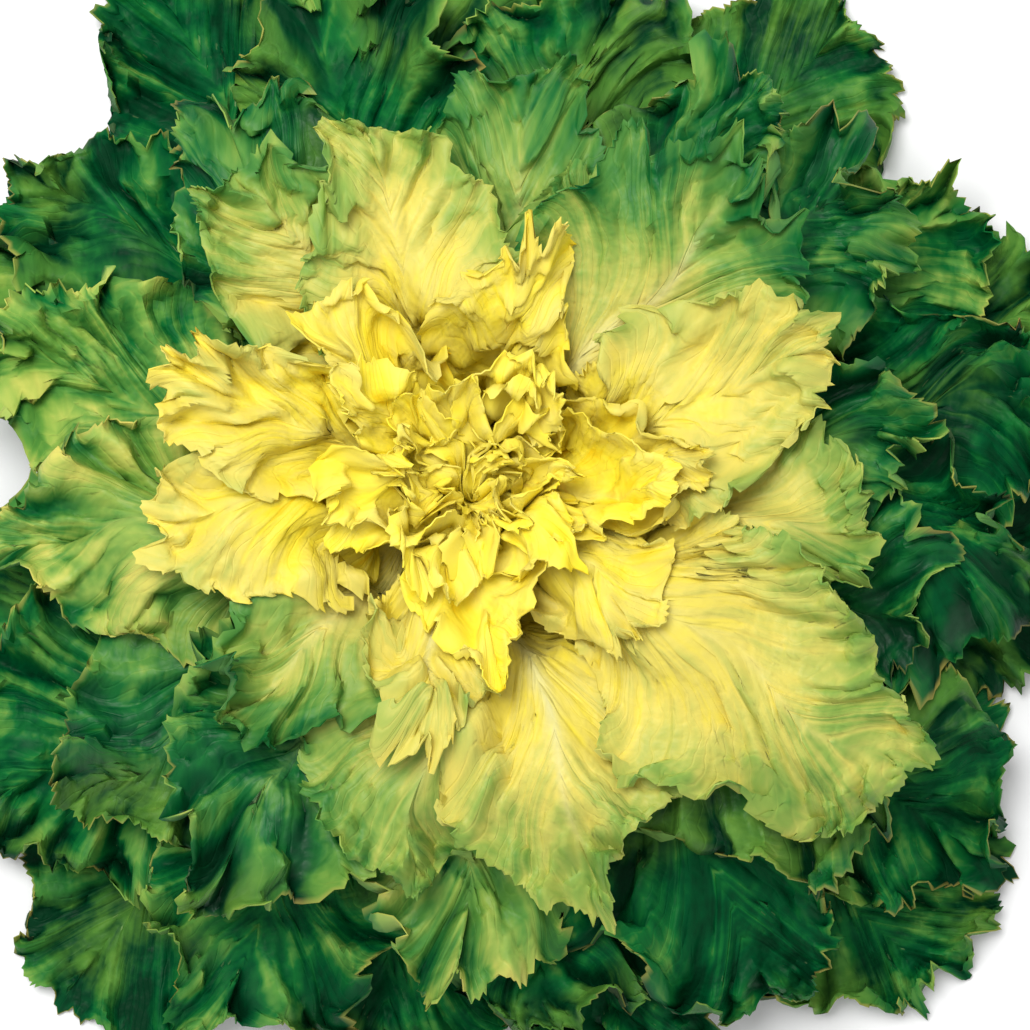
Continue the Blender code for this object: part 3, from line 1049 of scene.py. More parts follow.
@dataclass
class LeafMesh:
    """Turns a leaf's points into a thin closed body with its finish maps."""

    head: Head
    least_normal: float = 1e-12
    sharp_angle: float = 62.0
    ripening: tuple = (0.3, 0.9)
    side_share: float = 0.18
    # The wave height at which the painted highlight on crests and the painted shade in hollows are full.
    crest_height: float = 5.0
    edge_width: float = 3.0
    rib_growth: float = 0.16
    under_rib_growth: float = 0.5
    foot_zone: tuple = (0.05, 0.34)
    foot_growth: float = 0.5
    map_scale: float = 0.01
    map_offset: float = 3.7
    map_offsets: int = 97

    def build(self, name: str, parts: list) -> bpy.types.Object:
        """Make one object from one leaf or from several.

        Args:
            name: The object's name.
            parts: Pairs of a patch and its points.

        Returns:
            The new object, linked to the scene.
        """
        shells = [self.shell(patch, points) for patch, points in parts]
        starts = np.cumsum([0] + [len(shell[0]) for shell in shells])
        corners = np.concatenate([shell[0] for shell in shells])
        faces = np.concatenate([shell[1] + start for shell, start in zip(shells, starts)])
        under = np.concatenate([shell[2] for shell in shells])
        mesh = bpy.data.meshes.new(name)
        mesh.from_pydata(corners.tolist(), [], faces.tolist())
        mesh.polygons.foreach_set("material_index", under.astype(np.int32))
        for coat in Coat:
            values = np.concatenate([shell[3][coat] for shell in shells])
            layer = mesh.uv_layers.new(name=coat.value)
            loops = np.empty(len(mesh.loops), dtype=np.int32)
            mesh.loops.foreach_get("vertex_index", loops)
            layer.data.foreach_set("uv", values[loops].astype(np.float32).ravel())
        mesh.polygons.foreach_set("use_smooth", np.ones(len(mesh.polygons), dtype=bool))
        mesh.validate()
        mesh.set_sharp_from_angle(angle=math.radians(self.sharp_angle))
        return add_object(name, mesh)

    def shell(self, patch: Patch, points: np.ndarray) -> tuple:
        """Thicken a leaf and join its two faces round the rim.

        Args:
            patch: The leaf.
            points: Its points, row by row, in metres.

        Returns:
            Corners, faces of four, a mark for the faces of the underside, and the finish maps.
        """
        rows, columns = points.shape[:2]
        middle = columns // 2
        normal = np.cross(np.gradient(points, axis=0), np.gradient(points, axis=1))
        normal[-1] = normal[-2]
        normal[-1, middle + 1 :] = normal[-1, :middle][::-1]
        normal = normal / (np.linalg.norm(normal, axis=-1, keepdims=True) + self.least_normal)
        half = 0.5 * MM * between(patch.relief.thickness, self.head.rib(patch))[..., None]

        index = np.arange(rows * columns).reshape(rows, columns)
        index[-1] = index[-1, 0] + np.minimum(np.arange(columns), columns - 1 - np.arange(columns))
        used = (rows - 1) * columns + middle + 1
        top = (points + normal * half).reshape(-1, 3)[:used]
        bottom = (points - normal * half).reshape(-1, 3)[:used]
        face = np.stack((index[:-1, :-1], index[1:, :-1], index[1:, 1:], index[:-1, 1:]), axis=-1)
        face = face.reshape(-1, 4)
        rim = np.concatenate((index[::-1, 0], index[0, 1:], index[1:, -1]))
        rim = np.stack((rim[:-1], rim[1:], rim[1:] + used, rim[:-1] + used), axis=-1)
        faces = np.concatenate((face, face[:, [0, 3, 2, 1]] + used, rim[:, ::-1]))
        under = np.concatenate((np.zeros(len(face)), np.ones(len(face)), np.zeros(len(rim))))
        return np.concatenate((top, bottom)), faces, under, self.coats(patch, used)

    def coats(self, patch: Patch, used: int) -> dict:
        """Work out the finish maps of a leaf.

        Args:
            patch: The leaf.
            used: How many of its points its mesh has.

        Returns:
            For every map two numbers at each corner, first of the upper face, then of the lower.
        """
        leaf, fan, relief = patch.leaf, patch.fan, patch.relief
        sided = 1.0 - self.side_share + self.side_share * np.abs(fan.side)
        green = between(leaf.green, smooth_step(fan.rise * sided, *self.ripening))
        # Painted light and shade: crests paler as a painted highlight, hollows darker or, where the share is
        # below 0, golden as painted shade.
        green = green - relief.crest_painted_light * np.clip(patch.crest / self.crest_height, -1.0, 1.0)
        green = green - relief.edge_paleness * np.exp(-patch.from_edge / self.edge_width)
        rib = self.head.rib(patch)
        green = green - self.rib_growth * rib * green
        foot = leaf.foot_paleness * (1.0 - smooth_step(fan.rise, *self.foot_zone))
        green = np.clip(green * (1.0 - self.foot_growth * foot), 0.0, 1.0)
        under = green * (1.0 - leaf.under_rib * self.under_rib_growth * rib)
        pale = np.maximum(rib * leaf.rib, foot**2)
        under_pale = np.maximum(pale, rib * leaf.under_rib)
        vein = (self.head.vein_phase(patch), np.broadcast_to(fan.reach, green.shape))
        offset = self.map_offset * (leaf.seed % self.map_offsets)
        blade = (self.map_scale * patch.across + offset, self.map_scale * patch.along)
        maps = {
            Coat.GROWTH: ((green, pale), (under, under_pale)),
            Coat.VEIN: (vein, vein),
            Coat.BLADE: (blade, blade),
        }
        return {
            coat: np.concatenate([np.stack(pair, axis=-1).reshape(-1, 2)[:used] for pair in pairs])
            for coat, pairs in maps.items()
        }


class Wiring:
    """A new material and short ways to add nodes to it."""

    def __init__(self, name: str) -> None:
        """Start an empty material.

        Args:
            name: The material's name.
        """
        self.material = bpy.data.materials.new(name)
        self.material.use_nodes = True
        self.tree = self.material.node_tree
        self.tree.nodes.clear()

    def node(self, kind: str, inputs: dict | None = None, **settings: object) -> bpy.types.Node:
        """Add a node.

        Args:
            kind: The node's type.
            inputs: Sockets by name or number, each with a value or another node's output.
            settings: Attributes of the node.

        Returns:
            The new node.
        """
        added = self.tree.nodes.new(kind)
        for name, value in settings.items():
            setattr(added, name, value)
        for name, value in (inputs or {}).items():
            if isinstance(value, bpy.types.NodeSocket):
                self.tree.links.new(value, added.inputs[name])
            else:
                added.inputs[name].default_value = value
        return added

    def sum(
        self, operation: str, first: Value, second: Value = 0.0, third: Value = 0.0
    ) -> bpy.types.NodeSocket:
        """Add a calculation and return its result."""
        values = {0: first, 1: second, 2: third}
        return self.node("ShaderNodeMath", values, operation=operation).outputs[0]

    def product(self, first: Value, second: Value) -> bpy.types.NodeSocket:
        """Return the product of two values."""
        return self.sum("MULTIPLY", first, second)

    def vary(self, value: Value, pattern: Value, strength: float) -> bpy.types.NodeSocket:
        """Return a value, raised and lowered by a pattern round its middle of 0.5."""
        return self.sum("MULTIPLY_ADD", self.sum("SUBTRACT", pattern, 0.5), strength, value)

    def saw(self, value: Value) -> bpy.types.NodeSocket:
        """Return 0.5 at every whole number, falling to 0 halfway between them."""
        return self.sum("ABSOLUTE", self.sum("SUBTRACT", self.sum("FRACT", value), 0.5))

    def step(self, value: Value, low: float, high: float) -> bpy.types.NodeSocket:
        """Return a smooth rise from 0 at low to 1 at high."""
        inputs = {"Value": value, "From Min": low, "From Max": high}
        return self.node("ShaderNodeMapRange", inputs, interpolation_type="SMOOTHSTEP").outputs[0]

    def blend(self, share: Value, first: Colour, second: Colour) -> bpy.types.NodeSocket:
        """Return a mix of two colours."""
        return self.node("ShaderNodeMix", {0: share, 6: first, 7: second}, data_type="RGBA").outputs[2]

    def ramp(self, value: Value, stops: tuple) -> bpy.types.NodeSocket:
        """Read a colour from a scale.

        Args:
            value: Where on the scale, 0 to 1.
            stops: The scale's stops, each a position and a linear colour.

        Returns:
            The colour.
        """
        added = self.node("ShaderNodeValToRGB", {0: value})
        points = added.color_ramp.elements
        while len(points) < len(stops):
            points.new(1.0)
        for point, (position, colour) in zip(points, stops):
            point.position = position
            point.color = colour
        return added.outputs[0]

    def noise(
        self, place: bpy.types.NodeSocket, scale: float, detail: float, rough: float = 0.5
    ) -> bpy.types.NodeSocket:
        """Return a soft irregular pattern between 0 and 1."""
        inputs = {"Vector": place, "Scale": scale, "Detail": detail, "Roughness": rough}
        return self.node("ShaderNodeTexNoise", inputs, noise_dimensions="2D").outputs[0]

    def bump(self, height: bpy.types.NodeSocket, strength: float, reach: float) -> bpy.types.NodeSocket:
        """Return a surface direction tilted by a height, with its reach in metres."""
        inputs = {"Strength": strength, "Distance": reach, "Height": height}
        return self.node("ShaderNodeBump", inputs).outputs[0]

    def coat(self, coat: Coat) -> tuple:
        """Read a finish map.

        Args:
            coat: Which map.

        Returns:
            The map as a place, and its two numbers.
        """
        place = self.node("ShaderNodeUVMap", uv_map=coat.value).outputs[0]
        parts = self.node("ShaderNodeSeparateXYZ", {0: place}).outputs
        return place, parts[0], parts[1]

    def finish(self, shader: bpy.types.NodeSocket) -> bpy.types.Material:
        """Return the material with a shader on its surface."""
        self.node("ShaderNodeOutputMaterial", {0: shader})
        return self.material


@dataclass(frozen=True)
class BladeFinish:
    """The living surface of a leaf, coloured by how much light it grew in, and with painted light and
    shade by the height of its crests and hollows.

    The numbers of a noise are its scale, its detail and its roughness, where it has one of its
    own. Other pairs are where something starts to show and where it is fully there.
    """

    name: str
    roughness: float = 0.45
    roughness_spread: float = 0.16
    translucence: float = 0.3
    paleness: float = 0.0
    mottle: float = 0.12
    dry_margin: float = 0.0
    streaks: float = 0.08
    olive: float = 0.0
    sheen: float = 0.2
    grain: float = 0.0011
    grain_strength: float = 0.55
    vein_growth: float = -0.06
    vein_groove: float = -0.5
    rib_cover: float = 0.6
    cloud_noise: tuple = (5.0, 1.0, 0.6)
    speck_noise: tuple = (22.0, 1.5, 0.65)
    streak_noise: tuple = (1.0, 1.0, 0.6)
    streak_stretch: tuple = (3.2, 1.3, 0.0)
    olive_noise: tuple = (1.6, 1.0, 0.6)
    olive_patches: tuple = (0.46, 0.66)
    olive_growth: tuple = (0.98, 0.72)
    dry_reach: tuple = (0.955, 1.0)
    dry_patches: tuple = (0.42, 0.62)
    lateral_line: tuple = (0.40, 0.5)
    lateral_fade: float = -0.75
    net_noise: tuple = (9.0, 0.0)
    net_wander: float = 1.6
    net_count: float = 4.0
    net_line: tuple = (0.36, 0.5)
    net_reach: tuple = (0.05, 0.5)
    net_strength: float = 0.4
    olive_colour: tuple = (126, 160, 50)
    rib_colour: tuple = (236, 238, 196)
    pale_colour: tuple = (196, 214, 150)
    margin_colour: tuple = (205, 186, 92)
    growth_colours: tuple = (
        (0.00, (252, 219, 38)),
        (0.06, (255, 236, 62)),
        (0.14, (253, 236, 86)),
        (0.26, (242, 227, 112)),
        (0.38, (212, 212, 106)),
        (0.50, (158, 188, 86)),
        (0.62, (92, 152, 66)),
        (0.74, (20, 112, 50)),
        (0.86, (0, 82, 42)),
        (1.00, (3, 56, 30)),
    )

    def make(self) -> bpy.types.Material:
        """Build the material.

        Returns:
            The finished material.
        """
        wiring = Wiring(self.name)
        _, green, rib = wiring.coat(Coat.GROWTH)
        fan, phase, reach = wiring.coat(Coat.VEIN)
        place, _, _ = wiring.coat(Coat.BLADE)
        veins = self.veins(wiring, phase, reach, place)
        cloud = wiring.noise(place, *self.cloud_noise)
        speck = wiring.noise(place, *self.speck_noise)
        stretch = {0: fan, 1: self.streak_stretch}
        fan = wiring.node("ShaderNodeVectorMath", stretch, operation="MULTIPLY").outputs[0]
        tone = wiring.vary(green, wiring.noise(fan, *self.streak_noise), 2.0 * self.streaks)
        tone = wiring.vary(tone, cloud, 2.0 * self.mottle)
        tone = wiring.vary(tone, speck, self.mottle)
        tone = wiring.sum("MULTIPLY_ADD", veins, self.vein_growth, tone)
        colour = self.colour(wiring, tone, rib, place)
        dry = wiring.product(wiring.step(reach, *self.dry_reach), wiring.step(cloud, *self.dry_patches))
        colour = wiring.blend(wiring.product(dry, self.dry_margin), colour, paint(*self.margin_colour))
        relief = wiring.sum("MULTIPLY_ADD", veins, self.vein_groove, speck)
        bump = wiring.bump(relief, self.grain_strength, self.grain)
        smoothest = self.roughness - 0.5 * self.roughness_spread
        rough = wiring.sum("MULTIPLY_ADD", speck, self.roughness_spread, smoothest)
        inputs = {"Base Color": colour, "Roughness": rough, "Normal": bump, "Specular IOR Level": self.sheen}
        skin = wiring.node("ShaderNodeBsdfPrincipled", inputs).outputs[0]
        glow = wiring.node("ShaderNodeBsdfTranslucent", {"Color": colour, "Normal": bump}).outputs[0]
        return wiring.finish(
            wiring.node("ShaderNodeMixShader", {0: self.translucence, 1: skin, 2: glow}).outputs[0]
        )

    def colour(self, wiring: Wiring, tone: Value, rib: Value, place: Value) -> bpy.types.NodeSocket:
        """Turn a growth tone into a colour.

        Args:
            wiring: The material.
            tone: How green the leaf is, 0 to 1, with painted light and shade by the height of its waves.
            rib: How much of the midrib's colour shows.
            place: The place on the blade.

        Returns:
            The colour, with olive patches, midrib and paleness.
        """
        colour = wiring.ramp(tone, tuple((at, paint(*shade)) for at, shade in self.growth_colours))
        if self.olive:
            patches = wiring.step(wiring.noise(place, *self.olive_noise), *self.olive_patches)
            patches = wiring.product(patches, wiring.step(tone, *self.olive_growth))
            share = wiring.product(patches, self.olive)
            colour = wiring.blend(share, colour, paint(*self.olive_colour))
        colour = wiring.blend(wiring.product(rib, self.rib_cover), colour, paint(*self.rib_colour))
        return wiring.blend(self.paleness, colour, paint(*self.pale_colour))

    def veins(self, wiring: Wiring, phase: Value, reach: Value, place: Value) -> bpy.types.NodeSocket:
        """Draw the veins: laterals from midrib to margin, and a fine net between them.

        Args:
            wiring: The material.
            phase: A number that grows by 1 from each lateral to the next.
            reach: How far out towards the margin a point lies, 0 to 1.
            place: The place on the blade.

        Returns:
            1 on the veins, 0 between them.
        """
        lateral = wiring.step(wiring.saw(phase), *self.lateral_line)
        lateral = wiring.product(lateral, wiring.sum("MULTIPLY_ADD", reach, self.lateral_fade, 1.0))
        wander = wiring.noise(place, *self.net_noise)
        wander = wiring.sum("MULTIPLY_ADD", wander, self.net_wander, wiring.product(phase, self.net_count))
        fine = wiring.step(wiring.saw(wander), *self.net_line)
        fine = wiring.product(fine, wiring.step(reach, *self.net_reach))
        return wiring.sum("MAXIMUM", lateral, wiring.product(fine, self.net_strength))


@dataclass(frozen=True)
class StemFinish:
    """The pale flesh of the cut stem, browned a little on its cut face."""

    name: str = "stem_flesh"
    flesh: tuple = (226, 222, 176)
    cut: tuple = (186, 150, 92)
    cut_height: float = 0.003
    stain_noise: tuple = (160.0, 5.0, 0.65)
    grain_noise: tuple = (900.0, 3.0)
    grain: float = 0.0005
    grain_strength: float = 0.5
    roughness: float = 0.55

    def make(self) -> bpy.types.Material:
        """Build the material.

        Returns:
            The finished material.
        """
        wiring = Wiring(self.name)
        place = wiring.node("ShaderNodeTexCoord").outputs["Object"]
        height = wiring.node("ShaderNodeSeparateXYZ", {0: place}).outputs[2]
        stain = wiring.noise(place, *self.stain_noise)
        low = wiring.sum("SUBTRACT", 1.0, wiring.step(height, 0.0, self.cut_height))
        colour = wiring.blend(wiring.product(low, stain), paint(*self.flesh), paint(*self.cut))
        bump = wiring.bump(wiring.noise(place, *self.grain_noise), self.grain_strength, self.grain)
        inputs = {"Base Color": colour, "Roughness": self.roughness, "Normal": bump}
        return wiring.finish(wiring.node("ShaderNodeBsdfPrincipled", inputs).outputs[0])


@dataclass(frozen=True)
class FloorFinish:
    """The plain pale floor."""

    name: str = "floor"
    shade: float = 0.86
    roughness: float = 0.8

    def make(self) -> bpy.types.Material:
        """Build the material.

        Returns:
            The finished material.
        """
        wiring = Wiring(self.name)
        inputs = {"Base Color": (self.shade, self.shade, self.shade, 1.0), "Roughness": self.roughness}
        return wiring.finish(wiring.node("ShaderNodeBsdfPrincipled", inputs).outputs[0])


@dataclass
class Stump:
    """The short cut stem that the leaves grow from, in mm."""

    layers: Layers
    face_radius: float = 19.0
    face_rings: tuple = (0.3, 0.7)
    bevel: float = 0.5
    neck_inset: float = 1.0
    neck_start: float = 2.0
    clearance: float = 0.9
    top_layer: float = 0.86
    rings: int = 20
    sides: int = 120
    scar: float = 0.35
    scar_depth: float = 0.6
    scar_start: tuple = (1.0, 3.0)
    scar_waves: tuple = (700, 9.0, 4.0)
    sharp_angle: float = 50.0

    def build(self) -> bpy.types.Object:
        """Turn the stem with the low ridges of its leaf scars.

        Returns:
            The stump's object.
        """
        radius, height = self.layers.foot(np.linspace(0.0, self.top_layer, self.rings), self.clearance)
        face = [share * self.face_radius for share in self.face_rings]
        face += [self.face_radius - self.bevel, self.face_radius, radius[0] - self.neck_inset]
        radius = np.concatenate((face, radius))
        height = np.concatenate(((0.0, 0.0, 0.0, self.bevel, self.neck_start), height))
        turn = np.linspace(0.0, FULL_TURN, self.sides, endpoint=False)
        ring = radius[:, None]
        scars = Ripples(*self.scar_waves).over(ring * np.cos(turn), ring * np.sin(turn) + height[:, None])
        ridges = (np.abs(scars) - self.scar_depth) * smooth_step(height[:, None], *self.scar_start)
        wide = (ring + self.scar * ridges) * MM
        tall = np.repeat(height[:, None] * MM, self.sides, axis=1)
        corners = np.stack((wide * np.cos(turn), wide * np.sin(turn), tall), axis=-1).reshape(-1, 3)
        corners = np.concatenate((corners, [(0.0, 0.0, 0.0), (0.0, 0.0, height[-1] * MM)]))
        index = np.arange(len(radius) * self.sides).reshape(len(radius), self.sides)
        after = np.roll(index, -1, axis=1)
        faces = np.stack((index[:-1], after[:-1], after[1:], index[1:]), axis=-1).reshape(-1, 4)
        low, high = len(corners) - 2, len(corners) - 1
        caps = [(int(b), int(a), low) for a, b in zip(index[0], after[0])]
        caps += [(int(a), int(b), high) for a, b in zip(index[-1], after[-1])]
        mesh = bpy.data.meshes.new("cut_stem")
        mesh.from_pydata(corners.tolist(), [], faces.tolist() + caps)
        mesh.shade_smooth()
        mesh.set_sharp_from_angle(angle=math.radians(self.sharp_angle))
        return add_object("cut_stem", mesh)

    def dress(self, body: bpy.types.Object, finish: bpy.types.Material) -> None:
        """Give the stump its flesh and put it in the place of its solid.

        Args:
            body: The stump's object.
            finish: Its flesh.
        """
        body.data.materials.append(finish)
        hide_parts("stump")
        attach(body, BODY)


@dataclass
class Whorl:
    """A ring of large leaves.

    Each row of the table is a leaf: its direction in degrees, its length and width in mm, and
    how green it is at its foot and at its tip, from 0 to 1. The ribs give how much of the pale
    midrib shows on the face and on the underside, and the paleness how white the feet are.
    Single leaves with a stronger midrib are listed by their number.
    """

    growth: Growth
    ends: tuple
    seed: int
    relief: Relief
    table: tuple
    rib: float = 0.3
    under_rib: float = 0.7
    foot_paleness: float = 0.0
    ribbed: dict = field(default_factory=dict)

    def lay(self, head: Head) -> None:
        """Lay the whorl's leaves over those below.

        Args:
            head: What lays them.
        """
        layers = np.linspace(*self.ends, len(self.table))
        for number, (row, layer) in enumerate(zip(self.table, layers), start=1):
            leaf = Leaf(
                f"{self.growth.value}_{number:02d}",
                self.growth,
                layer,
                *row[:3],
                seed=self.seed + number - 1,
                green=row[3:],
                rib=self.ribbed.get(number, self.rib),
                under_rib=self.under_rib,
                foot_paleness=self.foot_paleness,
            )
            head.lay(leaf, self.relief)

    def dress(self, body: bpy.types.Object, node: str, finishes: tuple) -> None:
        """Give a leaf its two finishes and put it in the place of its solid.

        Args:
            body: The leaf's object.
            node: The name of its solid.
            finishes: The finish of its upper face and that of its underside.
        """
        for finish in finishes:
            body.data.materials.append(finish)
        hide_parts(node)
        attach(body, BODY)


@dataclass(frozen=True)
class Cluster:
    """Small leaves in a spiral, from the outermost to the innermost, in mm.

    The start is the share of a step by which the spiral is turned. A free cluster's leaves lie
    on their own layers, whatever lies there.
    """

    name: str
    count: int
    ends: tuple
    lengths: tuple
    widths: tuple
    seed: int
    relief: Relief
    start: float = 0.0
    free: bool = False


@dataclass
class Tuft:
    """The small crumpled leaves in the middle."""

    clusters: tuple
    room: float = 0.5
    golden_angle: float = 137.508
    green: tuple = (0.03, 0.15)

    def lay(self, head: Head) -> None:
        """Lay the small leaves over those below.

        Args:
            head: What lays them.
        """
        for cluster in self.clusters:
            for index in range(cluster.count):
                share = index / (cluster.count - 1)
                leaf = Leaf(
                    f"{cluster.name}_{index}",
                    Growth.TUFT,
                    between(cluster.ends, share),
                    (index + cluster.start) * self.golden_angle,
                    between(cluster.lengths, share),
                    between(cluster.widths, share),
                    cluster.seed + index,
                    self.green,
                )
                if cluster.free:
                    head.lay_free(leaf, cluster.relief)
                else:
                    head.lay(leaf, cluster.relief, self.room)

    def dress(self, body: bpy.types.Object, finishes: tuple) -> None:
        """Give the tuft its two finishes and put it in the place of its solid.

        Args:
            body: The tuft's object.
            finishes: The finish of its leaves' upper faces and that of their undersides.
        """
        for finish in finishes:
            body.data.materials.append(finish)
        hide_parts("heart")
        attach(body, BODY)


@dataclass
class Studio:
    """A pale floor, soft light and a camera straight above, in metres."""

    floor_size: float = 6.0
    floor_drop: float = 0.0002
    eye: tuple = (0.0144, -0.008, 1.08)
    frame_width: float = 0.33
    frame_distance: float = 0.985
    sensor: float = 36.0
    farthest: float = 20.0
    key_power: float = 27.0
    key_size: float = 0.9
    key_place: tuple = (-0.38, 0.52, 1.6)
    sky: float = 0.66
    bounces: int = 5
    diffuse_bounces: int = 4
    glossy_bounces: int = 1
    transmission_bounces: int = 2

    def build(self) -> None:
        """Set up the floor, the lights and the camera."""
        self.lay_floor()
        self.hang_lights()
        self.set_camera()

    def lay_floor(self) -> None:
        """Lay the floor under the part."""
        half = 0.5 * self.floor_size
        mesh = bpy.data.meshes.new("floor")
        corners = [(-half, -half, 0.0), (half, -half, 0.0), (half, half, 0.0), (-half, half, 0.0)]
        mesh.from_pydata(corners, [], [(0, 1, 2, 3)])
        floor = add_object("floor", mesh)
        floor.location.z = -self.floor_drop
        mesh.materials.append(FloorFinish().make())

    def hang_lights(self) -> None:
        """Hang one large soft light, fill the room with pale light and limit the bounces."""
        lamp = bpy.data.lights.new("softbox", "AREA")
        lamp.shape = "DISK"
        lamp.size = self.key_size
        lamp.energy = self.key_power
        softbox = add_object("softbox", lamp)
        softbox.location = self.key_place
        softbox.rotation_euler = (-softbox.location).to_track_quat("-Z", "Y").to_euler()
        world = bpy.data.worlds.new("room")
        world.use_nodes = True
        back = world.node_tree.nodes["Background"]
        back.inputs["Color"].default_value = (1.0, 1.0, 1.0, 1.0)
        back.inputs["Strength"].default_value = self.sky
        bpy.context.scene.world = world
        light = bpy.context.scene.cycles
        light.max_bounces = self.bounces
        light.diffuse_bounces = self.diffuse_bounces
        light.glossy_bounces = self.glossy_bounces
        light.transmission_bounces = self.transmission_bounces

    def set_camera(self) -> None:
        """Look straight down on the head."""
        lens = bpy.data.cameras.new("camera")
        lens.sensor_width = self.sensor
        lens.lens = self.sensor * self.frame_distance / self.frame_width
        lens.clip_end = self.farthest
        camera = add_object("camera", lens)
        camera.location = self.eye
        bpy.context.scene.camera = camera
        bpy.context.scene.view_settings.view_transform = "Standard"


OUTER_RELIEF = Relief(
    tooth_width=2.9, tooth_height=(0.8, 3.2), lobe=5.5, ruffle=9.0, frill=2.6, pleat=3.0,
    pucker=2.6, curl=0.9, vein_steps=13, edge_paleness=0.10, crest_painted_light=0.15, bare_teeth=0.3,
)
MID_RELIEF = Relief(
    tooth_width=2.8, tooth_height=(0.8, 3.0), lobe=4.8, ruffle=6.0, frill=2.2, pleat=2.6,
    pucker=2.2, curl=0.7, vein_steps=12, edge_paleness=0.12, crest_painted_light=0.15,
)
# Below 0 the crest light turns the hollows golden as painted shade.
HEART_RELIEF = Relief(
    tooth_width=2.6, tooth_height=(0.6, 2.6), lobe=3.5, ruffle=4.2, frill=1.4, pleat=2.6,
    pucker=2.1, curl=0.6, vein_steps=16, crest_painted_light=-0.06,
)
TUFT_RELIEF = Relief(
    tooth_width=2.6, tooth_height=(0.4, 1.8), lobe=2.0, ruffle=3.4, frill=1.5, pleat=2.0,
    pucker=2.0, curl=0.6, vein_steps=14, crest_painted_light=-0.05,
)
CRUMB_RELIEF = Relief(
    tooth_width=2.6, tooth_height=(0.3, 1.4), lobe=1.4, ruffle=3.0, frill=1.4, pleat=1.6,
    pucker=1.4, curl=0.4, vein_steps=9, crest_painted_light=-0.05, nod=(-1.2, 0.3),
)

OUTER_LEAVES = Whorl(
    Growth.OUTER, (0.0, 0.42), 100, OUTER_RELIEF,
    (
        (324, 206, 150, 0.80, 0.92), (53, 198, 140, 0.74, 0.86), (230, 214, 150, 0.78, 0.90),
        (155, 176, 140, 0.72, 0.85), (350, 200, 145, 0.80, 0.90), (256, 190, 140, 0.80, 0.92),
        (126, 200, 150, 0.80, 0.92), (18, 202, 145, 0.78, 0.88), (194, 172, 140, 0.72, 0.84),
        (310, 234, 135, 0.78, 0.86), (286, 194, 140, 0.85, 0.97), (98, 178, 140, 0.80, 0.90),
        (141, 172, 120, 0.80, 0.92), (33, 178, 120, 0.68, 0.76), (217, 196, 130, 0.78, 0.86),
        (74, 172, 120, 0.76, 0.84), (321, 208, 125, 0.80, 0.92), (12, 194, 120, 0.82, 0.94),
        (240, 194, 120, 0.76, 0.84), (277, 174, 120, 0.84, 0.93), (169, 158, 120, 0.60, 0.73),
        (303, 196, 120, 0.84, 0.94), (356, 182, 120, 0.82, 0.94), (112, 174, 120, 0.78, 0.88),
    ),
    rib=0.0,
    foot_paleness=1.0,
)
MID_LEAVES = Whorl(
    Growth.MID, (0.44, 0.58), 200, MID_RELIEF,
    (
        (216, 160, 110, 0.72, 0.86), (39, 172, 115, 0.72, 0.86), (125, 146, 100, 0.68, 0.86),
        (189, 150, 110, 0.52, 0.62), (340, 156, 110, 0.74, 0.88), (271, 160, 105, 0.60, 0.72),
        (56, 160, 105, 0.72, 0.84), (7, 144, 110, 0.70, 0.86), (317, 178, 115, 0.74, 0.86),
        (236, 158, 105, 0.72, 0.86),
    ),
    rib=0.1,
    foot_paleness=1.0,
)
HEART_LEAVES = Whorl(
    Growth.HEART, (0.60, 0.82), 300, HEART_RELIEF,
    (
        (80, 138, 90, 0.40, 0.64), (264, 136, 105, 0.26, 0.58), (65, 118, 65, 0.28, 0.54),
        (126, 136, 80, 0.12, 0.56), (351, 138, 95, 0.16, 0.52), (222, 116, 90, 0.28, 0.66),
        (290, 146, 112, 0.16, 0.48), (46, 150, 112, 0.26, 0.69), (186, 110, 78, 0.08, 0.28),
        (331, 180, 108, 0.18, 0.50), (15, 134, 80, 0.14, 0.36), (106, 136, 85, 0.10, 0.48),
        (161, 122, 70, 0.08, 0.24), (257, 108, 60, 0.16, 0.34), (322, 100, 62, 0.10, 0.24),
        (72, 104, 56, 0.08, 0.20), (132, 102, 56, 0.06, 0.18), (14, 100, 58, 0.08, 0.22),
    ),
    ribbed={7: 0.9, 8: 0.7, 14: 0.8},
)
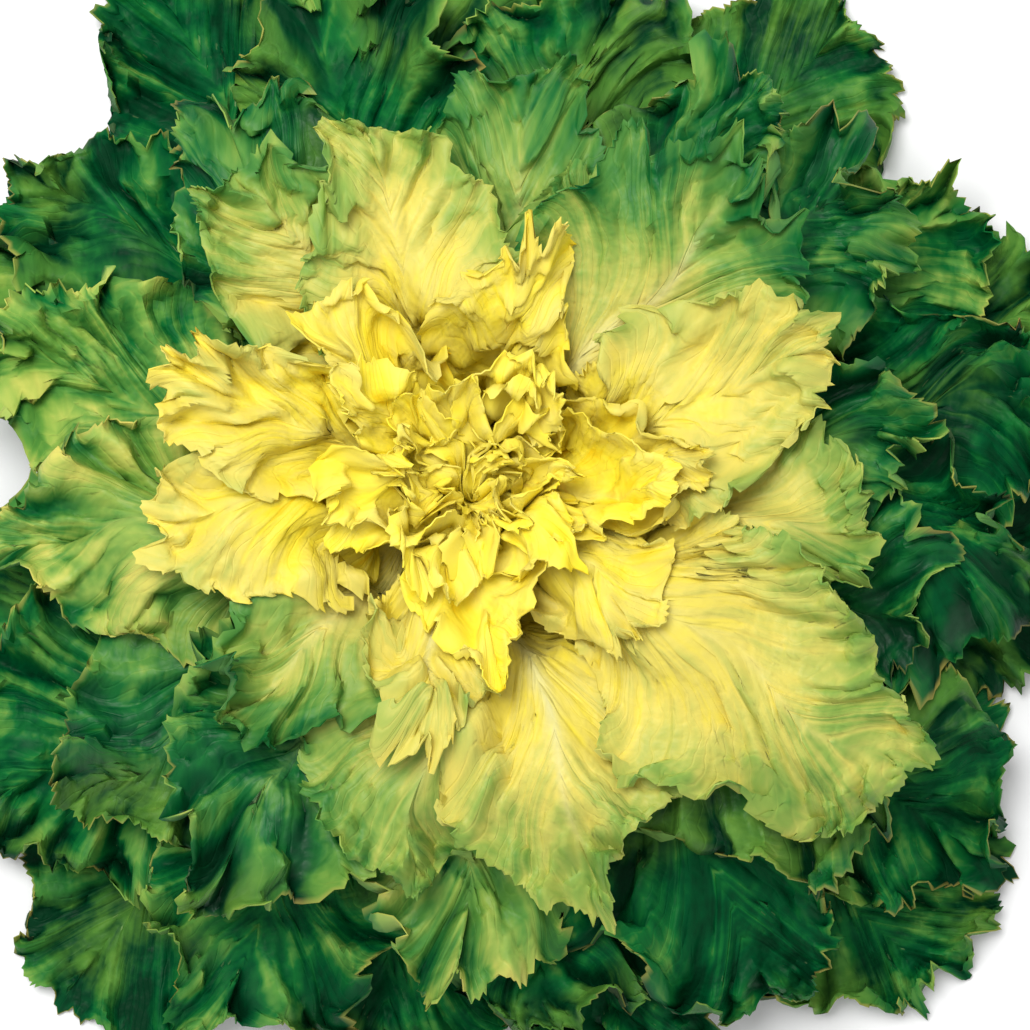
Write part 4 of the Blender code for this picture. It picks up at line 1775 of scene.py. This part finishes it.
TUFT = Tuft(
    (
        Cluster("tuft", 11, (0.88, 1.0), (92.0, 54.0), (58.0, 36.0), 400, TUFT_RELIEF),
        Cluster("crumb", 24, (0.94, 1.09), (72.0, 56.0), (36.0, 20.0), 450, CRUMB_RELIEF, 0.5, True),
    )
)

FINISHES = {
    Growth.OUTER: (
        BladeFinish(
            "outer_face", dry_margin=0.5, mottle=0.15, translucence=0.2, streaks=0.12, olive=0.35, sheen=0.07
        ),
        BladeFinish("outer_back", roughness=0.6, paleness=0.1, translucence=0.2, olive=0.35, sheen=0.07),
    ),
    Growth.MID: (
        BladeFinish("mid_face", dry_margin=0.4, mottle=0.15, translucence=0.25, streaks=0.12, olive=0.4),
        BladeFinish("mid_back", roughness=0.6, paleness=0.1, translucence=0.25, olive=0.4),
    ),
    Growth.HEART: (
        BladeFinish("heart_face", translucence=0.3, streaks=0.12),
        BladeFinish("heart_back", roughness=0.55, paleness=0.08, translucence=0.3),
    ),
    Growth.TUFT: (
        BladeFinish("tuft_face", translucence=0.2, sheen=0.1),
        BladeFinish("tuft_back", roughness=0.55, paleness=0.05, translucence=0.2, sheen=0.1),
    ),
}


def report(body: bpy.types.Object) -> None:
    """Log a finished piece."""
    LOG.info("%s has %d faces", body.name, len(body.data.polygons))


def main() -> None:
    """Build the head, piece by piece, and the studio round it."""
    logging.basicConfig(level=logging.INFO, format="%(name)s: %(message)s")
    head = Head()
    whorls = {whorl.growth: whorl for whorl in (OUTER_LEAVES, MID_LEAVES, HEART_LEAVES)}
    for whorl in whorls.values():
        whorl.lay(head)
    TUFT.lay(head)
    head.find_ceilings()
    made = {growth: tuple(finish.make() for finish in pair) for growth, pair in FINISHES.items()}
    meshes = LeafMesh(head)
    small = []
    for patch, points in head.finish_leaves():
        leaf = patch.leaf
        if leaf.growth is Growth.TUFT:
            small.append((patch, points))
            continue
        body = meshes.build(f"fine_{leaf.name}", [(patch, points)])
        whorls[leaf.growth].dress(body, leaf.name, made[leaf.growth])
        report(body)
    body = meshes.build("fine_heart", small)
    TUFT.dress(body, made[Growth.TUFT])
    report(body)
    stump = Stump(head.layers)
    body = stump.build()
    stump.dress(body, StemFinish().make())
    report(body)
    Studio().build()
    LOG.info("studio is set")


if __name__ == "__main__":
    main()
